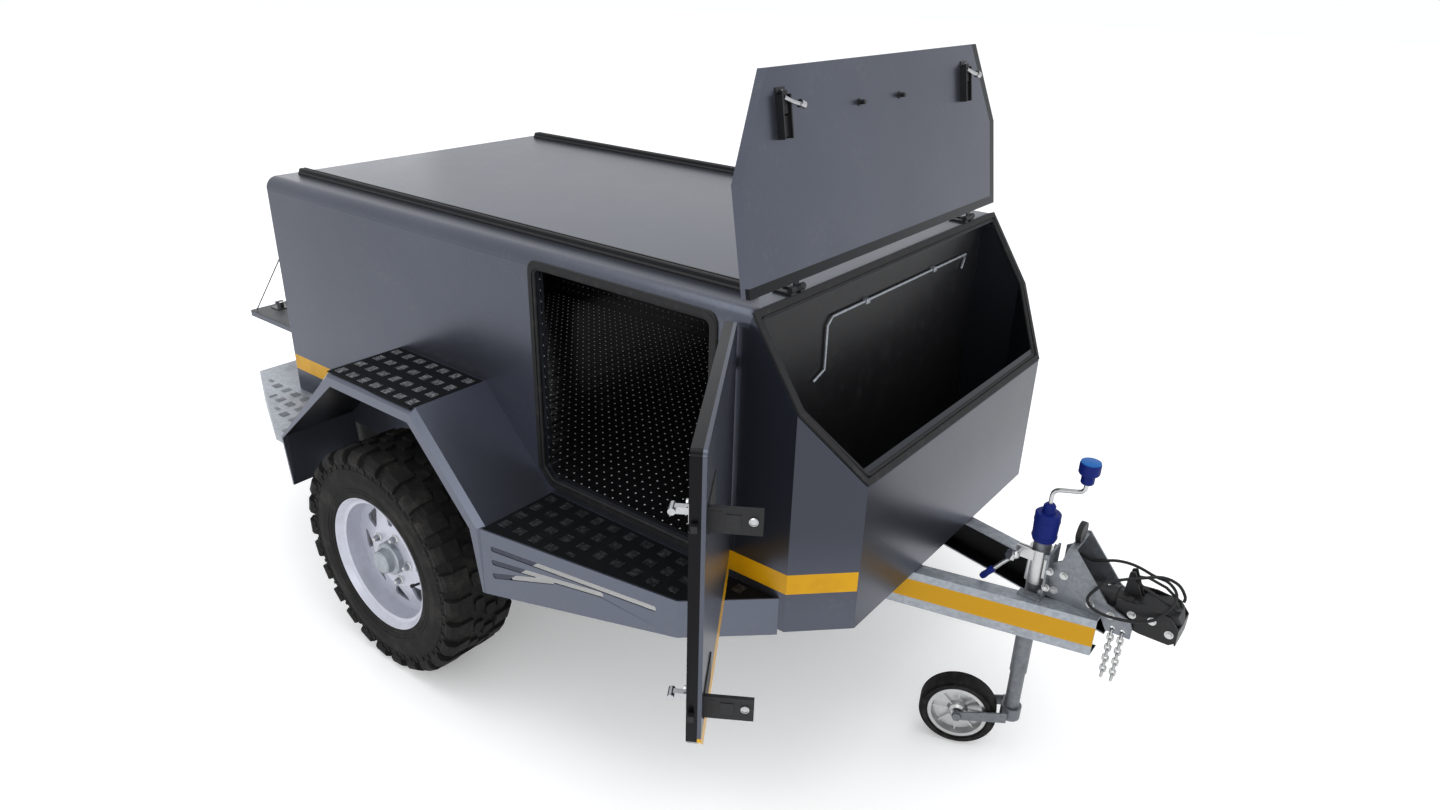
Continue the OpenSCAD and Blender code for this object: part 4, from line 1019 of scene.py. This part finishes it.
class TRAILER_OT_latches(bpy.types.Operator):
    """Adds locks, cams and trays to the latches of the doors, lid and tailgate"""

    bl_idname = "trailer.latches"
    bl_label = "Latches"
    # Radius and height of the corners of a round lock's face
    lock = ((0, 0), (0.0085, 0), (0.0085, 0.0025), (0.0065, 0.0035), (0.006, 0.002), (0, 0.002))

    def execute(self, context):
        self.right_door()
        self.left_door()
        self.lid()
        self.gate()
        return {"FINISHED"}

    @staticmethod
    def heights():
        return (ROAD_Z + 0.820, ROAD_Z + 1.240)

    def cams(self, bm, place, side):
        """Chromed hooks on a door's inner face, beside its free edge."""
        inner = side * (BODY_HALF + SEAL_GAP)
        for z in self.heights():
            x = DOOR_LOW.x + 0.040
            low, high = sorted((inner, inner - side * 0.005))
            add_box(bm, (x - 0.004, low, z - 0.018), (x + 0.036, high, z + 0.018), place)
            low, high = sorted((inner, inner - side * 0.038))
            add_box(bm, (x + 0.010, low, z - 0.008), (x + 0.024, high, z + 0.006), place)
            barrel = [place @ Vector((x + dx, inner - side * 0.036, z)) for dx in (0.002, 0.030)]
            add_tube(bm, barrel, 0.0072, 16)
            add_bolt(bm, place @ Vector((x + 0.018, inner - side * 0.006, z + 0.015)),
                     place.to_3x3() @ Vector((0, -side, 0)), 0.005, 0.004, False)

    def right_door(self):
        place = door_swing()
        chromed, dark = bmesh.new(), bmesh.new()
        self.cams(chromed, place, -1)
        face_x = DOOR_LOW.x + 0.026
        outer = -(BODY_HALF + SEAL_GAP + DOOR_THICK + 0.003)
        for z in self.heights():
            # The paddle's lock, a raised square and the ribs of its grip
            out = place.to_3x3() @ Vector((-1, 0, 0))
            middle = place @ Vector((face_x, outer - 0.078, z + 0.002))
            add_turned(chromed, self.lock, facing(middle, out), 28)
            add_box(dark, (face_x - 0.0012, outer - 0.056, z - 0.013), (face_x, outer - 0.030, z + 0.013),
                    place)
            for k in range(4):
                low = outer - 0.020 + k * 0.0045
                add_box(dark, (face_x - 0.001, low, z - 0.018), (face_x, low + 0.0018, z + 0.018), place)
        mesh_object("door_chrome_right", chromed, chrome(), "right_door", smooth=35)
        mesh_object("paddle_details_right", dark, satin_black(0.3), "right_door")

    def left_door(self):
        chromed = bmesh.new()
        place = Matrix.Identity(4)
        self.cams(chromed, place, 1)
        outer = BODY_HALF + SEAL_GAP + DOOR_THICK + 0.012
        for z in self.heights():
            add_turned(chromed, self.lock, facing((DOOR_LOW.x + 0.113, outer, z), (0, 1, 0)), 28)
        mesh_object("door_chrome_left", chromed, chrome(), "left_door", smooth=35)

    @staticmethod
    def lid():
        place = lid_place()
        inward = place.to_3x3() @ Vector((0, 0, -1))
        chromed, dark = bmesh.new(), bmesh.new()
        for y in (-0.492, 0.443):
            u = SLOPE_LENGTH - 0.095
            # A black channel with a chromed hook that leans out to the left
            add_box(dark, (u - 0.060, y - 0.018, -0.003), (u + 0.052, y + 0.018, 0), place)
            for low, high in ((-0.018, -0.014), (0.014, 0.018)):
                add_box(dark, (u - 0.060, y + low, -0.020), (u + 0.036, y + high, -0.003), place)
            add_box(dark, (u - 0.055, y - 0.014, -0.012), (u - 0.010, y + 0.014, -0.003), place)
            arm = [(u + 0.030, y - 0.006, -0.016), (u + 0.018, y + 0.018, -0.022),
                   (u + 0.010, y + 0.048, -0.024)]
            add_tube(chromed, [place @ Vector(spot) for spot in arm], 0.0055, 12)
            knob = [(u + 0.013, y + 0.042, -0.024), (u + 0.008, y + 0.058, -0.024)]
            add_tube(chromed, [place @ Vector(spot) for spot in knob], 0.0095, 14)
            for spot in (u + 0.041, u - 0.050):
                add_bolt(chromed, place @ Vector((spot, y, -0.003)), inward, 0.006, 0.004, False)
        for y in (-0.151, 0.055):
            add_turned(dark, [(0, 0.004), (0.009, 0.004), (0.009, 0.001), (0.006, 0), (0.006, -0.013),
                              (0.0045, -0.015), (0, -0.015)],
                       place @ Matrix.Translation((SLOPE_LENGTH - 0.105, y, -0.004)), 20)
        mesh_object("lid_chrome", chromed, chrome(), "front_lid", smooth=35)
        mesh_object("lid_fittings", dark, satin_black(0.3), "front_lid", smooth=35)

    @staticmethod
    def gate():
        low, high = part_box("tailgate")
        dark, chromed = bmesh.new(), bmesh.new()
        for side in (-1, 1):
            x, y = low.x + 0.055, side * 0.462
            add_box(chromed, (x - 0.016, y - 0.007, high.z), (x + 0.012, y + 0.007, high.z + 0.022))
            add_tube(chromed, [(x - 0.012, y + d, high.z + 0.020) for d in (-0.016, 0.016)], 0.006, 14)
            add_box(dark, (x - 0.022, y - 0.030, high.z - 0.001), (x + 0.032, y + 0.030, high.z + 0.003))
        mesh_object("gate_chrome", chromed, chrome(), "rear_gate", smooth=35)
        mesh_object("gate_fittings", dark, satin_black(0.3), "rear_gate")


class TRAILER_OT_rear(bpy.types.Operator):
    """Adds frames to the tail lamps, wire stays to the tailgate and splash plates to the wheel arches"""

    bl_idname = "trailer.rear"
    bl_label = "Rear details"

    def execute(self, context):
        self.header()
        self.lamp_frames()
        self.stays()
        self.splash_plates()
        return {"FINISHED"}

    @staticmethod
    def header():
        """A strip with rounded ends that closes the rear face between its frame and the roof."""
        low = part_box("rear_frame")[1].z + 0.0003
        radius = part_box("roof")[1].z - WALL - 0.0003 - low
        middle = BODY_HALF - WALL - radius - 0.0003
        turns = [math.pi / 2 * k / 8 for k in range(9)]
        right = [(middle + radius * math.cos(a), low + radius * math.sin(a)) for a in turns]
        place = Matrix(((0, 0, 1, SIDE_LOW.x), (1, 0, 0, 0), (0, 1, 0, 0), (0, 0, 0, 1)))
        bm = bmesh.new()
        add_prism(bm, right + [(-y, z) for y, z in reversed(right)], WALL, place)
        mesh_object("rear_header", bm, body_paint("none"), "root")

    @staticmethod
    def lamp_frames():
        low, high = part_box("tail_lamps")
        bm = bmesh.new()
        for side in (-1, 1):
            y = side * (high.y - 0.090)
            add_box(bm, (high.x - 0.012, y - 0.096, low.z - 0.006),
                    (high.x - 0.0002, y + 0.096, high.z + 0.006))
            for z in (low.z + 0.020, high.z - 0.020):
                add_bolt(bm, (low.x + 0.0005, y + 0.078, z), (-1, 0, 0), 0.004, 0.0015, False)
        mesh_object("lamp_frames", bm, satin_black(), "root")

    @staticmethod
    def stays():
        """A taut wire on each side from the body's rear face to the lowered tailgate."""
        gate_low, gate_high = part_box("tailgate")
        for name, side in SIDES:
            start = Vector((SIDE_LOW.x - 0.004, side * 0.600, ROAD_Z + 1.200))
            end = Vector((gate_low.x + 0.022, side * 0.545, gate_high.z + 0.003))
            bm = bmesh.new()
            add_tube(bm, [start.lerp(end, k / 12) for k in range(13)], 0.0024, 8)
            wire = mesh_object("stay_wire_" + name, bm, galvanised(0.3), None)
            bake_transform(wire)
            for body, spot, out in (("root", start, (-1, 0, 0)), ("rear_gate", end, (0, 0, 1))):
                bm = bmesh.new()
                add_bolt(bm, spot - Vector(out) * 0.003, out, 0.006, 0.004)
                mesh_object(f"stay_bolt_{body}_{name}", bm, bright_zinc(), body)

    @staticmethod
    def splash_plates():
        """A black plate on each side, in the plane of the body's side, that hangs behind the wheel."""
        for name, side in SIDES:
            bm = bmesh.new()
            low_y, high_y = sorted((side * (BODY_HALF - 0.010), side * (BODY_HALF - 0.012)))
            outline = [(-0.600, 0.592), (-0.585, 0.470), (-0.300, 0.440), (0.300, 0.440), (0.430, 0.592)]
            place = Matrix.Translation((AXLE_X, low_y, ROAD_Z)) @ Matrix.Rotation(math.pi / 2, 4, "X")
            add_prism(bm, outline, low_y - high_y, place)
            mesh_object("splash_plate_" + name, bm, satin_black(0.6), "root")


class TRAILER_OT_wheels(bpy.types.Operator):
    """Adds tread blocks, sidewall rings and fittings to the road wheels"""

    bl_idname = "trailer.wheels"
    bl_label = "Road wheels"

    def execute(self, context):
        for name, side in SIDES:
            centre = hinge(f"wheel_{name}_spin")
            self.tread(name, centre)
            self.sidewall(name, centre, side)
            self.fittings(name, centre, side)
        return {"FINISHED"}

    @staticmethod
    def tread(name, centre):
        """Two staggered rows of blocks between the shoulder lugs."""
        radius = (TYRE_HIGH.z - TYRE_LOW.z) / 2
        count = 26
        block = [(-0.021, -0.013), (-0.013, -0.019), (0.021, -0.015), (0.021, 0.011), (0.011, 0.019),
                 (-0.021, 0.014)]
        bm = bmesh.new()
        for k in range(count):
            for row in (-1, 1):
                angle = math.tau * (k + (0.28 if row > 0 else 0.72)) / count
                out = Vector((math.cos(angle), 0, math.sin(angle)))
                place = facing(centre + out * (radius - 0.0135) + Vector((0, row * 0.021, 0)), out, (0, 1, 0))
                outline = [(x * row, y * row) for x, y in block]
                add_prism(bm, outline, 0.0120, place)
        mesh_object("tread_blocks_" + name, bm, tyre_rubber(), "wheel_" + name)

    @staticmethod
    def sidewall(name, centre, side):
        """Rings and small ribs on the sidewall, plain where a tyre would carry lettering."""
        bm = bmesh.new()
        place = facing(centre, (0, side, 0))
        rings = ((0.243, 0.1172, 0.0022), (0.256, 0.1178, 0.0016), (0.318, 0.1172, 0.002))
        for radius, height, wide in rings:
            inner, outer, root = radius - wide, radius + wide, height - 0.004
            add_turned(bm, [(inner, root), (inner, height), (radius, height + 0.0012), (outer, height),
                            (outer, root)], place, 96)
        for k in range(52):
            turn = place @ Matrix.Rotation(math.tau * k / 52, 4, "Z")
            add_box(bm, (0.322, -0.005, 0.108), (0.337, 0.005, 0.1188), turn)
        mesh_object("sidewall_" + name, bm, tyre_rubber(), "wheel_" + name, smooth=40)

    @staticmethod
    def fittings(name, centre, side):
        place = facing(centre, (0, side, 0))
        bm = bmesh.new()
        for k in range(5):
            turn = Matrix.Rotation(math.tau * k / 5, 4, "Z")
            spot = place @ turn @ Matrix.Translation((0.080, 0, 0.057))
            add_turned(bm, [(0, 0), (0.0155, 0), (0.0155, 0.0012), (0.012, 0.004), (0, 0.004)], spot, 24)
            add_turned(bm, [(0, 0.014), (0.0085, 0.014), (0.007, 0.020), (0.003, 0.023), (0, 0.023)],
                       spot, 20)
        mesh_object("wheel_nuts_" + name, bm, bright_zinc(), "wheel_" + name, smooth=35)
        bm = bmesh.new()
        add_tube(bm, [place @ Vector((0.184, 0, 0.086)), place @ Vector((0.178, 0, 0.110))], 0.004, 12)
        add_turned(bm, [(0, 0), (0.006, 0), (0.006, 0.010), (0.004, 0.012), (0, 0.012)],
                   facing(place @ Vector((0.178, 0, 0.108)), place.to_3x3() @ Vector((-0.25, 0, 1))), 12)
        mesh_object("valve_" + name, bm, rubber(), "wheel_" + name, smooth=35)


class TRAILER_OT_hardware(bpy.types.Operator):
    """Adds bolts and small fittings to the hinges, drawbar, coupling and jockey wheel"""

    bl_idname = "trailer.hardware"
    bl_label = "Hardware"

    def execute(self, context):
        self.hinge_bolts(context)
        self.hatch_rod()
        self.coupling()
        self.jockey()
        return {"FINISHED"}

    @staticmethod
    def hinge_bolts(context):
        radius = context.scene.trailer_sizes.bolt_radius
        bm = bmesh.new()
        for side in (-1, 1):
            for shift in (-0.020, 0.020):
                for back in (0.020, 0.036):
                    add_bolt(bm, at(ROOF_END - back, side * 0.475 + shift, SLOPE_TOP + 0.006), (0, 0, 1),
                             radius * 0.6, 0.004, False)
        for _, side in SIDES:
            for middle in (0.825, 1.266):
                for shift in (-0.031, 0.031):
                    add_bolt(bm, at(1.117, side * (BODY_HALF + 0.005), middle + shift), (0, side, 0),
                             radius * 0.55, 0.003, False)
        mesh_object("hinge_bolts", bm, bright_zinc(), "root")

    @staticmethod
    def hatch_rod():
        """A bent steel rod clipped to the bulkhead in the nose box."""
        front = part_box("bulkhead")[1].x + 0.006
        corners = ((-0.347, 1.130), (-0.296, 1.150), (-0.296, 1.271), (-0.275, 1.292), (0.525, 1.290),
                   (0.503, 1.248))
        bm = bmesh.new()
        add_tube(bm, [(front, y, ROAD_Z + z) for y, z in corners], 0.0038, 12)
        for y in (-0.1, 0.3):
            add_box(bm, (front - 0.006, y - 0.010, ROAD_Z + 1.284),
                    (front + 0.006, y + 0.010, ROAD_Z + 1.298))
        mesh_object("hatch_rod", bm, galvanised(), "root", smooth=40)

    @staticmethod
    def coupling():
        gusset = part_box("coupling_base")[1].y
        wire = NODES["safety_chain"].modifiers.new("thicker_wire", "DISPLACE")
        wire.mid_level = 0
        wire.strength = 0.0012
        zinc, dark = bmesh.new(), bmesh.new()
        for side in (-1, 1):
            for x, z in ((1.782, 0.606), (1.880, 0.606), (1.935, 0.596), (1.800, 0.660)):
                add_bolt(zinc, at(x, side * gusset, z), (0, side, 0), 0.0075, 0.006)
        for x in (0.790, 1.180):
            for side in (-1, 1):
                y = RAIL_REAR[1] - (x - RAIL_REAR[0]) * RAIL_SLOPE - 0.024
                add_bolt(zinc, at(x, side * y, 0.4672), (0, 0, -1), 0.011, 0.008)
        # Flat cheeks and a front plate on the coupling's head, with the bolts through them
        cheek = [(-0.112, -0.008), (-0.044, -0.021), (0.030, -0.021), (0.0455, -0.008), (0.0455, 0.028),
                 (0.020, 0.058), (-0.040, 0.064), (-0.112, 0.056)]
        for side in (-1, 1):
            place = Matrix.Translation((0, side * 0.0465, 0)) @ Matrix.Rotation(math.pi / 2, 4, "X")
            add_prism(dark, cheek, -side * 0.004, place)
            for x, z in ((0.026, 0.010), (-0.020, 0.030), (-0.070, 0.026)):
                add_bolt(zinc, (x, side * 0.0505, z), (0, side, 0), 0.0075, 0.005)
        add_box(dark, (0.0415, -0.0465, -0.019), (0.0455, 0.0465, 0.028))
        # A grease nipple and two bolts on the coupling
        for x in (2.006, 2.040):
            add_bolt(zinc, at(x, 0, 0.648), (0, 0, 1), 0.008, 0.006)
        add_turned(zinc, [(0, 0), (0.005, 0), (0.005, 0.004), (0.003, 0.006), (0.0035, 0.010), (0, 0.011)],
                   Matrix.Translation(at(1.902, 0, 0.643)), 14)
        mesh_object("drawbar_bolts", zinc, bright_zinc(), "root", smooth=35)
        mesh_object("coupling_bolts", dark, satin_black(0.3), "root", smooth=35)

    @staticmethod
    def jockey():
        low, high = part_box("jack_knob")
        middle = Vector(((low.x + high.x) / 2, (low.y + high.y) / 2, 0))
        bm = bmesh.new()
        cap = Matrix.Translation(Vector((middle.x, middle.y, high.z)))
        disc = [(0, -0.001), (0.0255, -0.001), (0.0255, 0.0016), (0.0235, 0.0026), (0, 0.0026)]
        add_turned(bm, disc, cap, 40)
        mesh_object("knob_cap", bm, sky_plastic(), "root", smooth=35)
        bm = bmesh.new()
        tip = at(JACK_X - 0.122, JACK_Y - 0.066, 0.600)
        bend = at(JACK_X - 0.074, JACK_Y - 0.064, 0.664)
        along = (bend - tip).normalized()
        grip = [(0, -0.010), (0.008, -0.009), (0.010, 0), (0.0085, 0.016), (0.010, 0.034), (0.0075, 0.042)]
        add_turned(bm, grip, facing(tip, along), 20)
        mesh_object("lever_grip", bm, navy_plastic(), "root", smooth=40)
        # The clamp screw's star nut, and the bolts of the clamp
        bm = bmesh.new()
        reach = [0.0165 * (0.78 + 0.22 * (k % 2)) for k in range(12)]
        star = [(r * math.cos(math.tau * k / 12), r * math.sin(math.tau * k / 12))
                for k, r in enumerate(reach)]
        add_prism(bm, star, 0.012, facing(at(1.668, -0.100, 0.688), (-0.6, -0.7, 0.4)))
        for x, z in ((1.764, 0.616), (1.766, 0.668)):
            add_bolt(bm, at(x, -0.078, z), (0, -1, 0), 0.0075, 0.007)
        mesh_object("clamp_bolts", bm, bright_zinc(), "root", smooth=35)
        bm = bmesh.new()
        collar = Matrix.Translation(at(JACK_X, JACK_Y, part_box("jack_housing")[0].z - ROAD_Z))
        for height, out in ((0.012, 0.0338), (0.060, 0.0348)):
            add_turned(bm, [(out - 0.002, height - 0.003), (out, height - 0.002), (out, height + 0.002),
                            (out - 0.002, height + 0.003)], collar, 40)
        mesh_object("housing_rings", bm, navy_plastic(), "root", smooth=40)


class TRAILER_PT_panel(bpy.types.Panel):
    """Lists the trailer's operators and colours"""

    bl_idname = "TRAILER_PT_panel"
    bl_label = "Off-road Box Trailer"
    bl_space_type = "VIEW_3D"
    bl_region_type = "UI"
    bl_category = "Trailer"

    def draw(self, context):
        for operator in OPERATORS:
            self.layout.operator(operator.bl_idname)
        scene = context.scene
        for group in (scene.trailer_colours, scene.trailer_sizes, scene.trailer_stage):
            for name in group.__annotations__:
                self.layout.prop(group, name)


OPERATORS = (TRAILER_OT_stage, TRAILER_OT_finishes, TRAILER_OT_lining, TRAILER_OT_treads, TRAILER_OT_seals,
             TRAILER_OT_latches, TRAILER_OT_rear, TRAILER_OT_wheels, TRAILER_OT_hardware)
CLASSES = (TrailerColours, TrailerSizes, TrailerStage, *OPERATORS, TRAILER_PT_panel)


def register():
    for one in CLASSES:
        bpy.utils.register_class(one)
    bpy.types.Scene.trailer_colours = bpy.props.PointerProperty(type=TrailerColours)
    bpy.types.Scene.trailer_sizes = bpy.props.PointerProperty(type=TrailerSizes)
    bpy.types.Scene.trailer_stage = bpy.props.PointerProperty(type=TrailerStage)


def unregister():
    del bpy.types.Scene.trailer_stage
    del bpy.types.Scene.trailer_sizes
    del bpy.types.Scene.trailer_colours
    for one in reversed(CLASSES):
        bpy.utils.unregister_class(one)


def main():
    """Makes every piece in order."""
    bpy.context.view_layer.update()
    register()
    for operator in OPERATORS:
        section, name = operator.bl_idname.split(".")
        getattr(getattr(bpy.ops, section), name)()


if __name__ == "__main__":
    main()
